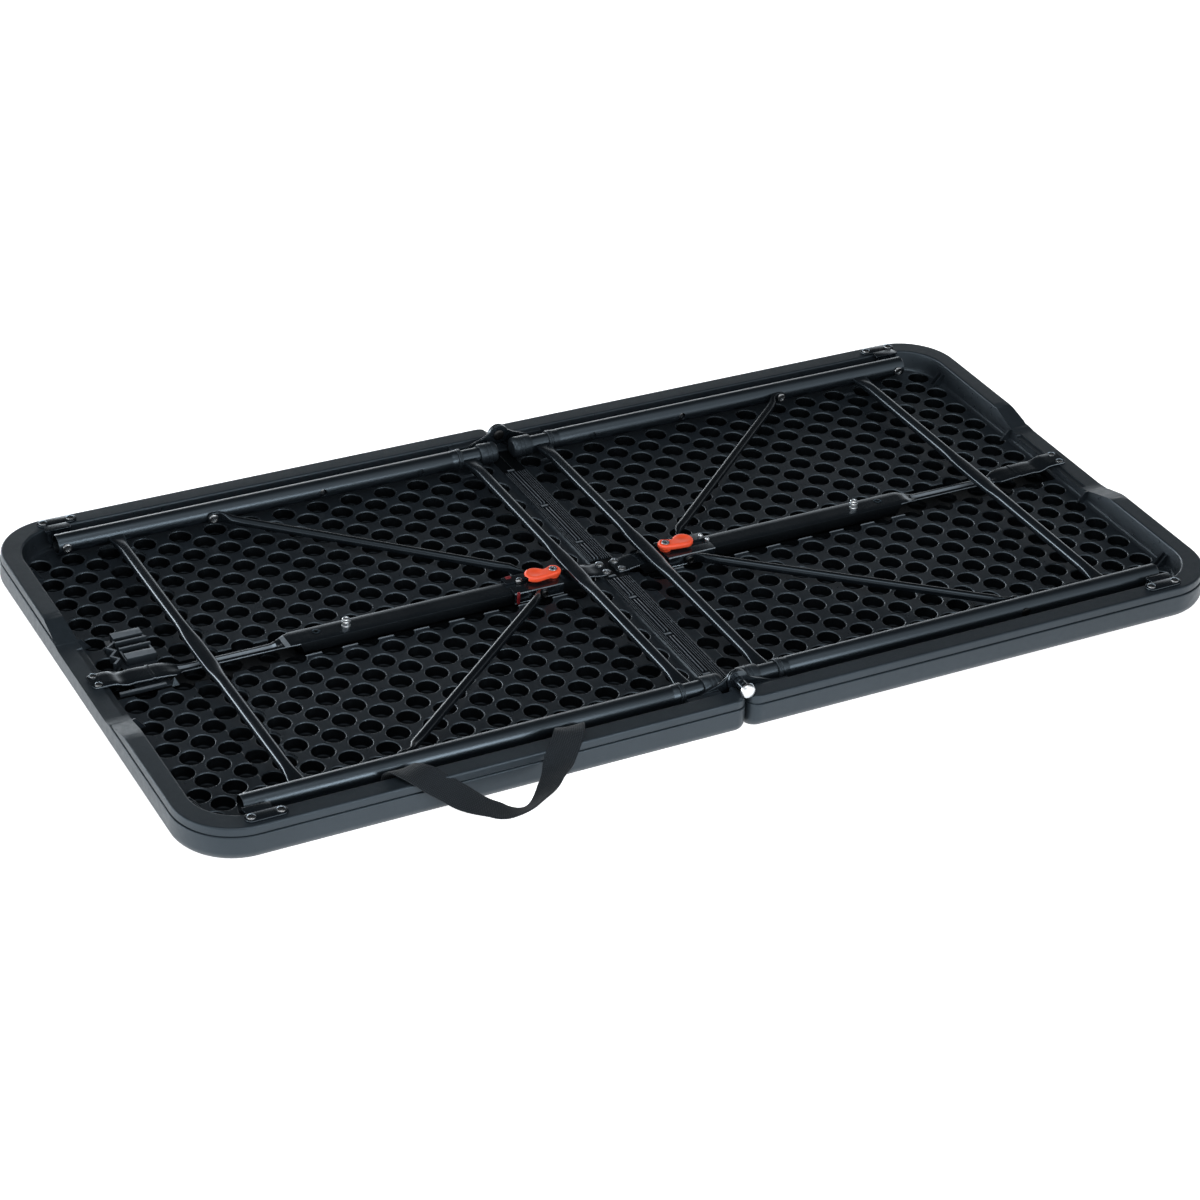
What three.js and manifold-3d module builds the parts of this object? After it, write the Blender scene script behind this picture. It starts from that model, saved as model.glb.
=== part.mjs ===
// Fold-in-half camping table, lying on its top with both leg frames folded away.
// Millimetres, +Z up. X runs along the table and is 0 at the centre seam, Y runs across it.
// The worktop faces down and rests on Z = 0; the moulded underside faces up.
import * as THREE from 'three';
import { mergeVertices } from 'three/addons/utils/BufferGeometryUtils.js';
import Module from 'manifold-3d';

const wasm = await Module();
wasm.setup();
const { Manifold, Mesh: SolidMesh } = wasm;

// ---------------------------------------------------------------- driving dimensions

const TABLE = { length: 1200, width: 615, rim: 38.8, floor: 16, seam: 0.6 };
const HINGE_Z = 44.5;
const NOTCH = { z: 27, bottom: 72, top: 118 };
const LEDGE = { x: 14, z: 20 };
const CHANNEL = { half: 18.5, z: 11, x0: 30, x1: 572 };

const LEG = { y: 260, z: 32.2, pivotX: 525, endX: 534, mouthX: 60 };
const OUTER_TUBE = { radius: 11, bore: 9.6 };
const INNER_TUBE = { radius: 9.2, bore: 8, x0: 13, x1: 345 };
const SNAP = { retracted: 227.5, extended: 109.5, hole: 4.5, head: 4.2 };
const CAP = { radius: 12, x0: 9.5, x1: 32.5 };
const CROSSBAR = { radius: 6.5, outerX: 470, innerX: 46, end: 248.7 };

const BRACE = { legX: 359, sliderX: 88.7, sliderZ: 22.2, radius: 5, lug: 5.6 };
const RAIL = { half: 15, top: 25, thick: 2, pinX: 310, pinTop: 35 };
const SLIDER = { x0: 64, x1: 122, inside: 15.6, outside: 18, z0: 14.5, plate: 25.4, top: 27.8 };
const LEVER = { eyeX: 68.8, eye: 9, paddleX: 92, paddle: 14, z0: 28.2, skin: 35.5, top: 38 };
const SHEET = 2.5;

// ---------------------------------------------------------------- materials

const finish = (color, roughness, metalness) => ({ color, roughness, metalness });
const MOULDED_BLACK = finish(0x26282b, 0.62, 0);
const BLACK_STEEL = finish(0x1b1d20, 0.34, 0.35);
const BLACK_NYLON = finish(0x2d2f33, 0.5, 0);
const ZINC = finish(0xb9bcc0, 0.32, 0.9);
const RED_LEVER = finish(0xd8391a, 0.42, 0);
const WEBBING = finish(0x3a3c40, 0.9, 0);

// ---------------------------------------------------------------- solid helpers

function toSolid(geometry) {
  const bare = geometry.clone();
  bare.deleteAttribute('normal');
  bare.deleteAttribute('uv');
  const merged = mergeVertices(bare, 1e-4);
  return new Manifold(new SolidMesh({
    numProp: 3,
    vertProperties: new Float32Array(merged.attributes.position.array),
    triVerts: new Uint32Array(merged.index.array),
  }));
}

function toGeometry(solid) {
  const mesh = solid.getMesh();
  const indexed = new THREE.BufferGeometry();
  const stride = mesh.numProp;
  const count = mesh.vertProperties.length / stride;
  const positions = new Float32Array(count * 3);
  for (let i = 0; i < count; i += 1) {
    for (let k = 0; k < 3; k += 1) {
      positions[3 * i + k] = mesh.vertProperties[stride * i + k];
    }
  }
  indexed.setAttribute('position', new THREE.BufferAttribute(positions, 3));
  indexed.setIndex(new THREE.BufferAttribute(new Uint32Array(mesh.triVerts), 1));
  const flat = indexed.toNonIndexed();
  flat.computeVertexNormals();
  return flat;
}

function block([x0, x1], [y0, y1], [z0, z1]) {
  const box = new THREE.BoxGeometry(x1 - x0, y1 - y0, z1 - z0);
  box.translate((x0 + x1) / 2, (y0 + y1) / 2, (z0 + z1) / 2);
  return toSolid(box);
}

function rod(from, to, radius, sides = 24) {
  const start = new THREE.Vector3(...from);
  const end = new THREE.Vector3(...to);
  const direction = end.clone().sub(start);
  const cylinder = new THREE.CylinderGeometry(radius, radius, direction.length(), sides);
  cylinder.rotateY(Math.PI / sides);
  const up = new THREE.Vector3(0, 1, 0);
  const turn = new THREE.Quaternion().setFromUnitVectors(up, direction.normalize());
  cylinder.applyQuaternion(turn);
  const middle = start.add(end).multiplyScalar(0.5);
  cylinder.translate(middle.x, middle.y, middle.z);
  return toSolid(cylinder);
}

// Rods along one row axis, given the span and the two other coordinates.
const rodX = ([x0, x1], y, z, radius, sides) => rod([x0, y, z], [x1, y, z], radius, sides);
const rodY = ([y0, y1], x, z, radius, sides) => rod([x, y0, z], [x, y1, z], radius, sides);
const rodZ = ([z0, z1], x, y, radius, sides) => rod([x, y, z0], [x, y, z1], radius, sides);

// An outline pushed along an axis: [x, z] points for 'y', [y, z] for 'x', [x, y] for 'z'.
function prism(points, axis, [from, to]) {
  const shape = new THREE.Shape(points.map(([u, v]) => new THREE.Vector2(u, v)));
  const solid = new THREE.ExtrudeGeometry(shape, { depth: to - from, bevelEnabled: false });
  if (axis === 'x') {
    solid.rotateX(Math.PI / 2);
    solid.rotateZ(Math.PI / 2);
    solid.translate(from, 0, 0);
  } else if (axis === 'y') {
    solid.rotateX(Math.PI / 2);
    solid.translate(0, to, 0);
  } else {
    solid.translate(0, 0, from);
  }
  return toSolid(solid);
}

// A skin through stacked convex rings with equal point counts, closed at both ends.
function loft(rings) {
  const count = rings[0].length;
  const positions = rings.flat(2);
  const index = [];
  for (let r = 0; r + 1 < rings.length; r += 1) {
    for (let i = 0; i < count; i += 1) {
      const a = r * count + i;
      const b = r * count + ((i + 1) % count);
      index.push(a, b, b + count, a, b + count, a + count);
    }
  }
  const last = (rings.length - 1) * count;
  for (let i = 1; i + 1 < count; i += 1) {
    index.push(0, i + 1, i);
    index.push(last, last + i, last + i + 1);
  }
  const skin = new THREE.BufferGeometry();
  skin.setAttribute('position', new THREE.BufferAttribute(new Float32Array(positions), 3));
  skin.setIndex(index);
  return toSolid(skin);
}

// A plan outline from the seam end (x0) to the outer end (x1), with rounded corners.
function plan({ x0, x1, half, seamRadius, endRadius, z }) {
  const corners = [
    { x: x0 + seamRadius, y: -half + seamRadius, r: seamRadius, start: Math.PI, steps: 3 },
    { x: x1 - endRadius, y: -half + endRadius, r: endRadius, start: 1.5 * Math.PI, steps: 9 },
    { x: x1 - endRadius, y: half - endRadius, r: endRadius, start: 0, steps: 9 },
    { x: x0 + seamRadius, y: half - seamRadius, r: seamRadius, start: 0.5 * Math.PI, steps: 3 },
  ];
  const ring = [];
  for (const { x, y, r, start, steps } of corners) {
    for (let i = 0; i <= steps; i += 1) {
      const angle = start + (i / steps) * (Math.PI / 2);
      ring.push([x + r * Math.cos(angle), y + r * Math.sin(angle), z]);
    }
  }
  return ring;
}

const add = (first, ...others) => others.reduce((sum, solid) => sum.add(solid), first);
const cut = (first, ...others) => others.reduce((rest, solid) => rest.subtract(solid), first);

// ---------------------------------------------------------------- tabletop halves

const HALF_LENGTH = TABLE.length / 2;
const HALF_WIDTH = TABLE.width / 2;

function outerRing(z, inset) {
  return plan({
    x0: TABLE.seam + inset / 3,
    x1: HALF_LENGTH - inset,
    half: HALF_WIDTH - inset,
    seamRadius: 14 - inset / 2,
    endRadius: 66 - inset,
    z,
  });
}

function trayRing(z, slope) {
  return plan({
    x0: LEDGE.x - slope,
    x1: 568 + slope,
    half: 280 + slope,
    seamRadius: 5,
    endRadius: 46,
    z,
  });
}

function tabletop(isLeft) {
  const body = loft([
    outerRing(0, 9),
    outerRing(1.6, 4.6),
    outerRing(4.6, 1.6),
    outerRing(9, 0),
    outerRing(29, 0.6),
    outerRing(31, 3),
    outerRing(TABLE.rim, 9),
  ]);
  const tray = loft([trayRing(TABLE.floor, 0), trayRing(TABLE.rim + 1, 5)]);
  const seamOpening = block([-2, 30], [-279, 279], [LEDGE.z, TABLE.rim + 1]);
  const railChannel = block(
    [CHANNEL.x0, CHANNEL.x1],
    [-CHANNEL.half, CHANNEL.half],
    [CHANNEL.z, TABLE.floor + 1],
  );
  const handHold = prism(
    [[-NOTCH.bottom, NOTCH.z], [NOTCH.bottom, NOTCH.z], [NOTCH.top, 39.5], [-NOTCH.top, 39.5]],
    'x',
    [555, 605],
  );
  const hingeSaddle = rodY([-310, 310], 0, HINGE_Z, 8.6);
  let top = cut(body, tray, seamOpening, railChannel, handHold, hingeSaddle);
  const padFace = isLeft ? 276.3 : 279.3;
  for (const y of [-1, 1]) {
    const pad = block([19, 58], [Math.min(y * padFace, y * 286), Math.max(y * padFace, y * 286)], [15, 36]);
    top = add(top, pad);
  }
  return top;
}

// ---------------------------------------------------------------- centre hinges

function hingeLeaf(y0) {
  const arm = prism(
    [[19, 18], [56, 18], [56, 33], [32, 34], [21, 38], [11, 48], [-4, 34], [5, 31], [15, 26]],
    'y',
    [y0, y0 + SHEET],
  );
  const eye = rodY([y0, y0 + SHEET], 0, HINGE_Z, 12, 28);
  return cut(add(arm, eye), rodY([y0 - 1, y0 + 4], 0, HINGE_Z, 3.8));
}

function hingeBolt() {
  const innerHead = rodY([271.3, 273.1], 0, HINGE_Z, 6.5);
  const shank = rodY([272, 300], 0, HINGE_Z, 3.5);
  const barrel = rodY([279.4, 297.2], 0, HINGE_Z, 5.3);
  const outerHead = rodY([297, 302.8], 0, HINGE_Z, 7);
  return add(innerHead, shank, barrel, outerHead);
}

// ---------------------------------------------------------------- leg frames

function legBracket() {
  const z0 = TABLE.rim + 0.3;
  const z1 = z0 + 2;
  const flange = add(
    rodZ([z0, z1], 505.9, 293, 7),
    rodZ([z0, z1], 536.5, 293, 7),
    block([505.9, 536.5], [286, 300], [z0, z1]),
    block([510, 540], [275.3, 292], [z0, z1]),
  );
  const ear = cut(
    add(
      block([512, 538], [275.3, 275.3 + SHEET], [LEG.z, z1]),
      rodY([275.3, 275.3 + SHEET], LEG.pivotX, LEG.z, 13),
    ),
    block([500, 550], [270, 285], [z1, z1 + 10]),
  );
  return cut(add(flange, ear), rodY([270, 282], LEG.pivotX, LEG.z, 4.2));
}

function legPivotPin() {
  return add(
    rodY([246.9, 248.6], LEG.pivotX, LEG.z, 5.4),
    rodY([248, 279], LEG.pivotX, LEG.z, 3.9),
    rodY([278.2, 279.8], LEG.pivotX, LEG.z, 5.4),
  );
}

function outerLegTube() {
  const tube = cut(
    rodX([LEG.mouthX, LEG.endX], LEG.y, LEG.z, OUTER_TUBE.radius),
    rodX([LEG.mouthX - 1, LEG.endX + 1], LEG.y, LEG.z, OUTER_TUBE.bore),
  );
  return cut(
    tube,
    rodY([245, 275], LEG.pivotX, LEG.z, 4.2, 16),
    rodY([245, 275], BRACE.legX, LEG.z, 3.3, 16),
    rodY([245, 258], SNAP.retracted, LEG.z, SNAP.hole, 16),
    rodY([245, 258], SNAP.extended, LEG.z, SNAP.hole, 16),
  );
}

function innerLegTube() {
  const tube = cut(
    rodX([INNER_TUBE.x0, INNER_TUBE.x1], LEG.y, LEG.z, INNER_TUBE.radius),
    rodX([INNER_TUBE.x0 - 1, INNER_TUBE.x1 + 1], LEG.y, LEG.z, INNER_TUBE.bore),
  );
  return cut(tube, rodY([245, 258], SNAP.retracted, LEG.z, SNAP.hole, 16));
}

function tubeCollar() {
  return cut(
    rodX([LEG.mouthX - 5.3, LEG.mouthX - 0.3], LEG.y, LEG.z, OUTER_TUBE.radius + 0.5),
    rodX([LEG.mouthX - 6, LEG.mouthX], LEG.y, LEG.z, INNER_TUBE.radius + 0.3),
  );
}

// A cup over the end of the inner tube, turned about its own axis and chamfered at the foot.
function footCap() {
  const bore = INNER_TUBE.radius + 0.3;
  const profile = [
    [0, CAP.x0], [9.6, CAP.x0], [CAP.radius, CAP.x0 + 2.4], [CAP.radius, CAP.x1],
    [bore, CAP.x1], [bore, INNER_TUBE.x0 - 0.3], [0, INNER_TUBE.x0 - 0.3],
  ];
  const cup = new THREE.LatheGeometry(profile.map(([r, h]) => new THREE.Vector2(r, h)), 24);
  cup.rotateZ(-Math.PI / 2);
  cup.translate(0, LEG.y, LEG.z);
  return toSolid(cup);
}

// A spring button inside the inner tube. Its head lies just below the surface and rises into
// a hole of the outer tube; the wider skirt keeps it in.
function snapButton() {
  const face = LEG.y - 8.5;
  const head = rodY([face, face + 6], SNAP.retracted, LEG.z, SNAP.head, 20);
  const skirt = rodY([face + 5.2, face + 7.2], SNAP.retracted, LEG.z, 5.2, 20);
  return add(head, skirt);
}

function crossbar(x) {
  return rodY([-CROSSBAR.end, CROSSBAR.end], x, LEG.z, CROSSBAR.radius);
}

// ---------------------------------------------------------------- braces and their lock

// A round bar flattened at each end. The leg end turns on a rivet through the tube. The other
// end bears on the slider's side and carries its own rivet head, because that pivot is open.
function braceStrut() {
  const { legX, sliderX, sliderZ, radius, lug } = BRACE;
  const bar = rod([343, 236.3, 32], [101, 31.3, 26.8], radius, 16);
  const legEnd = add(
    rodY([245.4, 248.4], legX, LEG.z, 6.5),
    prism(
      [[legX, 245.4], [352, 245.4], [343, 233], [338, 239], [346, 248.4], [legX, 248.4]],
      'z',
      [LEG.z - 4.6, LEG.z + 4.6],
    ),
  );
  const sliderEnd = add(
    rodY([18.6, 21.6], sliderX, sliderZ, lug),
    rodY([21.5, 23.4], sliderX, sliderZ, 4.8),
    prism(
      [[sliderX, 18.6], [95, 18.6], [105, 28], [99, 34], [91, 21.6], [sliderX, 21.6]],
      'z',
      [17.4, 27.7],
    ),
  );
  return cut(add(bar, legEnd, sliderEnd), rodY([242, 250], legX, LEG.z, 3.3, 16));
}

function braceRivet() {
  return add(
    rodY([243.4, 245.1], BRACE.legX, LEG.z, 5.4),
    rodY([244, 272], BRACE.legX, LEG.z, 3, 16),
    rodY([271.3, 272.9], BRACE.legX, LEG.z, 5.4),
  );
}

// The slider saddles the rail; its top is slotted from the outer end for the rail pin.
function braceSlider() {
  const { x0, x1, inside, outside, z0, plate, top } = SLIDER;
  const saddle = cut(
    block([x0, x1], [-outside, outside], [z0, top]),
    block([x0 - 1, x1 + 1], [-inside, inside], [z0 - 1, plate]),
  );
  const slot = add(block([80.1, x1 + 1], [-5.2, 5.2], [z0, top + 1]), rodZ([z0, top + 1], 80.1, 0, 5.2));
  return cut(saddle, slot, rodZ([z0, top + 1], LEVER.eyeX, 0, 3.3, 16));
}

// Hollow underneath so the rail pin can pass; a tooth on the back wall hooks the pin.
function latchLever() {
  const { eyeX, eye, paddleX, paddle, z0, skin, top } = LEVER;
  const shape = add(
    rodZ([z0, top], eyeX, 0, eye, 28),
    rodZ([z0, top], paddleX, 0, paddle, 32),
    prism([[eyeX, -7.5], [paddleX - 6, -11.5], [paddleX - 6, 11.5], [eyeX, 7.5]], 'z', [z0, top]),
  );
  const hollow = block([74.8, 110], [-16, 5.4], [z0 - 1, skin]);
  const tooth = block([85.4, 89.6], [0, 9], [z0, skin + 1]);
  return cut(add(cut(shape, hollow), tooth), rodZ([z0 - 1, top + 1], eyeX, 0, 3.3, 16));
}

function leverRivet() {
  return add(
    rodZ([SLIDER.plate + 0.1, 39], LEVER.eyeX, 0, 3, 16),
    rodZ([LEVER.top + 0.2, 39.8], LEVER.eyeX, 0, 5),
  );
}

// Folded sheet rail: screwed to the seam ledge, a channel for the slider, pinched thin
// under the outer crossbar, then up onto the lowered end rim.
function supportRail() {
  const { half, top, thick } = RAIL;
  const upper = [
    [4, LEDGE.z + 2.3], [16, LEDGE.z + 2.3], [28, top], [374, top], [392, 21], [492, 21],
    [514, top], [558, top], [567, NOTCH.z + 2.3], [591, NOTCH.z + 2.3],
  ];
  const lower = upper.map(([x, z]) => [x, z - thick]).reverse();
  const strip = prism([...upper, ...lower], 'y', [-half, half]);
  const walls = [-1, 1].map((y) => {
    const span = [Math.min(y * half, y * (half - thick)), Math.max(y * half, y * (half - thick))];
    return block([32, 366], span, [CHANNEL.z + 1.5, top - 0.5]);
  });
  const waist = [-1, 1].map((y) => prism(
    [[386, y * 10], [498, y * 10], [512, y * 20], [372, y * 20]],
    'z',
    [10, 32],
  ));
  const pinHole = rodZ([top - 4, top + 1], RAIL.pinX, 0, 3.2, 16);
  return cut(add(strip, ...walls), ...waist, pinHole);
}

function railPin() {
  return add(
    rodZ([RAIL.top + 0.2, RAIL.pinTop - 1.2], RAIL.pinX, 0, 4.5),
    rodZ([RAIL.pinTop - 1.3, RAIL.pinTop], RAIL.pinX, 0, 3.6),
    rodZ([RAIL.top - 3, RAIL.top + 1], RAIL.pinX, 0, 3, 16),
  );
}

// Moulded cradle that straddles the rail near the left end.
function endCatch() {
  return add(
    block([514, 560], [-25, 62], [16.3, 18.6]),
    block([514, 560], [-25, -20], [16.3, 23]),
    block([514, 546], [20, 31], [16.3, 26]),
    block([514, 546], [50, 62], [16.3, 28]),
  );
}

// ---------------------------------------------------------------- carrying strap

const STRAP = { width: 30, thick: 2.2 };
const STRAP_ROUTE = [
  [-392, -276.2, 26], [-391, -276.2, 36], [-387, -282, 42.4], [-380, -293, 44.2],
  [-369, -308, 41.5], [-353, -325, 32], [-334, -340, 22.5], [-312, -349, 16],
  [-288, -351, 14], [-264, -346, 17.5], [-243, -334, 26], [-225, -318, 37],
  [-212, -303, 43.6], [-203, -290, 44.2], [-197, -281, 42], [-195, -276.2, 36], [-195, -276.2, 26],
];

// The band's width direction: along X at both ends, turned edge-on at the bottom of the loop.
function strapAcross(t) {
  const turn = Math.PI * THREE.MathUtils.smoothstep(t, 0.12, 0.88);
  return new THREE.Vector3(Math.cos(turn), 0.8 * Math.sin(turn), -0.6 * Math.sin(turn));
}

function carryStrap() {
  const curve = new THREE.CatmullRomCurve3(STRAP_ROUTE.map((p) => new THREE.Vector3(...p)));
  const steps = 40;
  const rings = [];
  for (let i = 0; i <= steps; i += 1) {
    const t = i / steps;
    const centre = curve.getPointAt(t);
    const along = curve.getTangentAt(t);
    const across = strapAcross(t);
    across.addScaledVector(along, -across.dot(along)).normalize();
    const normal = new THREE.Vector3().crossVectors(across, along);
    const corner = (u, v) => centre.clone()
      .addScaledVector(across, (u * STRAP.width) / 2)
      .addScaledVector(normal, (v * STRAP.thick) / 2)
      .toArray();
    rings.push([corner(-1, -1), corner(-1, 1), corner(1, 1), corner(1, -1)]);
  }
  return loft(rings);
}

// ---------------------------------------------------------------- assembly

const table = new THREE.Group();
table.name = 'folding_table';

function place(name, solid, { color, roughness, metalness }) {
  const material = new THREE.MeshStandardMaterial({ color, roughness, metalness });
  const mesh = new THREE.Mesh(toGeometry(solid), material);
  mesh.name = name;
  table.add(mesh);
}

const SIDES = [['right', false], ['left', true]];
const ROWS = [['back', false], ['front', true]];

for (const [side, isLeft] of SIDES) {
  const toSide = (solid) => (isLeft ? solid.mirror([1, 0, 0]) : solid);
  place(`top_${side}`, toSide(tabletop(isLeft)), MOULDED_BLACK);
  place(`support_rail_${side}`, toSide(supportRail()), BLACK_STEEL);
  place(`rail_pin_${side}`, toSide(railPin()), ZINC);
  place(`outer_crossbar_${side}`, toSide(crossbar(CROSSBAR.outerX)), BLACK_STEEL);
  place(`inner_crossbar_${side}`, toSide(crossbar(CROSSBAR.innerX)), BLACK_STEEL);
  place(`brace_slider_${side}`, toSide(braceSlider()), BLACK_STEEL);
  place(`latch_lever_${side}`, toSide(latchLever()), RED_LEVER);
  place(`lever_rivet_${side}`, toSide(leverRivet()), ZINC);
  for (const [row, isFront] of ROWS) {
    const toCorner = (solid) => toSide(isFront ? solid.mirror([0, 1, 0]) : solid);
    const label = (piece) => `${piece}_${side}_${row}`;
    place(label('leg_bracket'), toCorner(legBracket()), BLACK_STEEL);
    place(label('leg_pivot_pin'), toCorner(legPivotPin()), ZINC);
    place(label('outer_leg_tube'), toCorner(outerLegTube()), BLACK_STEEL);
    place(label('tube_collar'), toCorner(tubeCollar()), BLACK_NYLON);
    place(label('inner_leg_tube'), toCorner(innerLegTube()), BLACK_STEEL);
    place(label('foot_cap'), toCorner(footCap()), BLACK_NYLON);
    place(label('snap_button'), toCorner(snapButton()), ZINC);
    place(label('brace_strut'), toCorner(braceStrut()), BLACK_STEEL);
    place(label('brace_rivet'), toCorner(braceRivet()), ZINC);
    place(label('hinge_leaf'), toCorner(hingeLeaf(isLeft ? 273.5 : 276.5)), BLACK_STEEL);
  }
}
place('hinge_bolt_back', hingeBolt(), ZINC);
place('hinge_bolt_front', hingeBolt().mirror([0, 1, 0]), ZINC);
place('end_catch_left', endCatch().mirror([1, 0, 0]), BLACK_NYLON);
place('carry_strap', carryStrap(), WEBBING);

export default table;
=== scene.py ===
"""Looks of the folding table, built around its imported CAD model.

All drawing is in millimetres in the CAD frame: X along the table with 0 at the seam, Y across,
Z up with the worktop face down on 0. Pieces are drawn once for the right half (and its back
row) and mirrored to the other places.
"""

import math

import bmesh
import bpy
from mathutils import Matrix, Vector


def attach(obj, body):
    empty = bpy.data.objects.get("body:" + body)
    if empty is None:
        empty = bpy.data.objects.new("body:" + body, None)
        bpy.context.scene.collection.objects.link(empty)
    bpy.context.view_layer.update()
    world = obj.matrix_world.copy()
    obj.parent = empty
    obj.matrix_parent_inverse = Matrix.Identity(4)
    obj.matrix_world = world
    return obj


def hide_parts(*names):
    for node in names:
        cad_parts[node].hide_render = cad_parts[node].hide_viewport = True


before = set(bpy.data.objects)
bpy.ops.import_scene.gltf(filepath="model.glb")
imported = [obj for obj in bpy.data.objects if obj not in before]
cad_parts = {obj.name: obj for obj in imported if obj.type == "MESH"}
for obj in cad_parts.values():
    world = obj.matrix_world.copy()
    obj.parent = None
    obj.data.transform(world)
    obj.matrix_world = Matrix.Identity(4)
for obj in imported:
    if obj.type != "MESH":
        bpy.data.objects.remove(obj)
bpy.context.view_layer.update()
scene = bpy.context.scene

MM = 0.001
TURN = 2 * math.pi
SIDES = (("right", 1), ("left", -1))
ROWS = (("back", 1), ("front", -1))

# ---------------- measures shared with the CAD

HALF_LENGTH, HALF_WIDTH = 600.0, 307.5
RIM_Z, LEDGE_Z, FLOOR_Z = 38.8, 20.0, 16.0
LEDGE_HALF_WIDTH = 279.0
DIMPLE_DX, DIMPLE_DY = 20.35, 20.8
LEG_Y, LEG_Z = 260.0, 32.2
PIVOT_X, BRACE_X = 525.0, 359.0
SNAP_X, SNAP_OUT_X = 227.5, 109.5
OUTER_BAR_X, INNER_BAR_X = 470.0, 46.0
STRUT_EYE = Vector((88.7, 20.1, 22.2))
PIN_X, EYE_X = 310.0, 68.8
HINGE_Z, RAIL_TOP = 44.5, 25.0
STRAP_WIDTH, STRAP_THICK = 30.0, 2.2

# ---------------- measures read again from the photo, which differ from the CAD

END_WALL_X, LAST_CUP_X = 573.0, 556.5
TROUGH_Z, CHANNEL_HALF = 13.8, 23.4
RAIL_HALF, WAIST_CUT = 13.0, 6.5
PADDLE_X = 90.5

# ---------------- mesh helpers


def turned(axis, at, u, v, h):
    """A point at height h along an axis through `at`, and u, v across it."""
    offset = {"x": (h, u, v), "y": (u, h, v), "z": (u, v, h)}[axis]
    return Vector(at) + Vector(offset)


def rounded(points, reach, steps=3, closed=False):
    """A 2-D outline with each corner cut back by `reach`, or by its own third number."""
    out, count = [], len(points)
    for i, point in enumerate(points):
        cut = point[2] if len(point) > 2 else reach
        here = Vector(point[:2])
        if cut <= 0 or (not closed and i in (0, count - 1)):
            out.append(tuple(here))
            continue
        before = Vector(points[i - 1][:2]) - here
        after = Vector(points[(i + 1) % count][:2]) - here
        cut = min(cut, 0.48 * before.length, 0.48 * after.length)
        a = here + before.normalized() * cut
        b = here + after.normalized() * cut
        for k in range(steps + 1):
            t = k / steps
            out.append(tuple((1 - t) ** 2 * a + 2 * t * (1 - t) * here + t * t * b))
    return out


def lathe(profile, axis, at, steps=40, ring=False):
    """A profile of (radius, height) turned about an axis; `ring` joins its two ends."""
    bm = bmesh.new()
    rows = []
    for radius, height in profile:
        count = 1 if radius < 1e-6 else steps
        rows.append([
            bm.verts.new(turned(
                axis, at,
                radius * math.cos(TURN * k / count), radius * math.sin(TURN * k / count), height,
            ))
            for k in range(count)
        ])
    pairs = list(zip(rows, rows[1:])) + ([(rows[-1], rows[0])] if ring else [])
    for low, high in pairs:
        for k in range(steps):
            n = (k + 1) % steps
            corners = [low[k % len(low)], high[k % len(high)], high[n % len(high)], low[n % len(low)]]
            corners = [v for i, v in enumerate(corners) if v not in corners[:i]]
            if len(corners) > 2:
                bm.faces.new(corners)
    if not ring:
        for row in (rows[0], rows[-1]):
            if len(row) > 1:
                bm.faces.new(row)
    return bm


def slab(outline, axis, low, high, bevel=0.0, segments=2):
    """An outline pushed along an axis, with its two face edges rounded."""
    bm = bmesh.new()
    bottom, top = ([bm.verts.new(turned(axis, (0, 0, 0), *p, h)) for p in outline] for h in (low, high))
    count = len(outline)
    faces = [bm.faces.new(bottom), bm.faces.new(top)]
    for i in range(count):
        n = (i + 1) % count
        bm.faces.new((bottom[i], bottom[n], top[n], top[i]))
    bmesh.ops.recalc_face_normals(bm, faces=bm.faces)
    if bevel > 0:
        edges = list({e for f in faces for e in f.edges})
        bmesh.ops.bevel(bm, geom=edges, offset=bevel, segments=segments, profile=0.5,
                        affect="EDGES", clamp_overlap=True)
    return bm


def box(x, y, z, bevel=0.0):
    """A block from its limits along X, Y and Z."""
    return slab([(x[0], y[0]), (x[1], y[0]), (x[1], y[1]), (x[0], y[1])], "z", z[0], z[1], bevel)


def skin(rings):
    """Quads between rings of equal point count, closed at both ends."""
    bm = bmesh.new()
    rows = [[bm.verts.new(p) for p in ring] for ring in rings]
    count = len(rows[0])
    for a, b in zip(rows, rows[1:]):
        for k in range(count):
            n = (k + 1) % count
            bm.faces.new((a[k], a[n], b[n], b[k]))
    bm.faces.new(rows[0])
    bm.faces.new(rows[-1])
    return bm


def oval(centre, side, up, a, b, power, steps=28):
    """One ring of a bar: an oval with half sizes a and b, squarer with a higher power."""
    ring = []
    for k in range(steps):
        c, s = math.cos(TURN * (k + 0.5) / steps), math.sin(TURN * (k + 0.5) / steps)
        u = math.copysign(abs(c) ** (2 / power), c) * a
        v = math.copysign(abs(s) ** (2 / power), s) * b
        ring.append(centre + side * u + up * v)
    return ring


def stack(*parts):
    """Several closed shells as one mesh."""
    whole = bmesh.new()
    for bm in parts:
        mesh = as_mesh(bm, "part")
        whole.from_mesh(mesh)
        bpy.data.meshes.remove(mesh)
    return whole


def as_mesh(bm, name):
    """The mesh data of a bmesh, which is used up."""
    bmesh.ops.recalc_face_normals(bm, faces=bm.faces)
    mesh = bpy.data.meshes.new(name)
    bm.to_mesh(mesh)
    bm.free()
    return mesh


def add_object(name, data):
    """Puts mesh, light or camera data into the scene as an object."""
    made = bpy.data.objects.new(name, data)
    scene.collection.objects.link(made)
    return made


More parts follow.
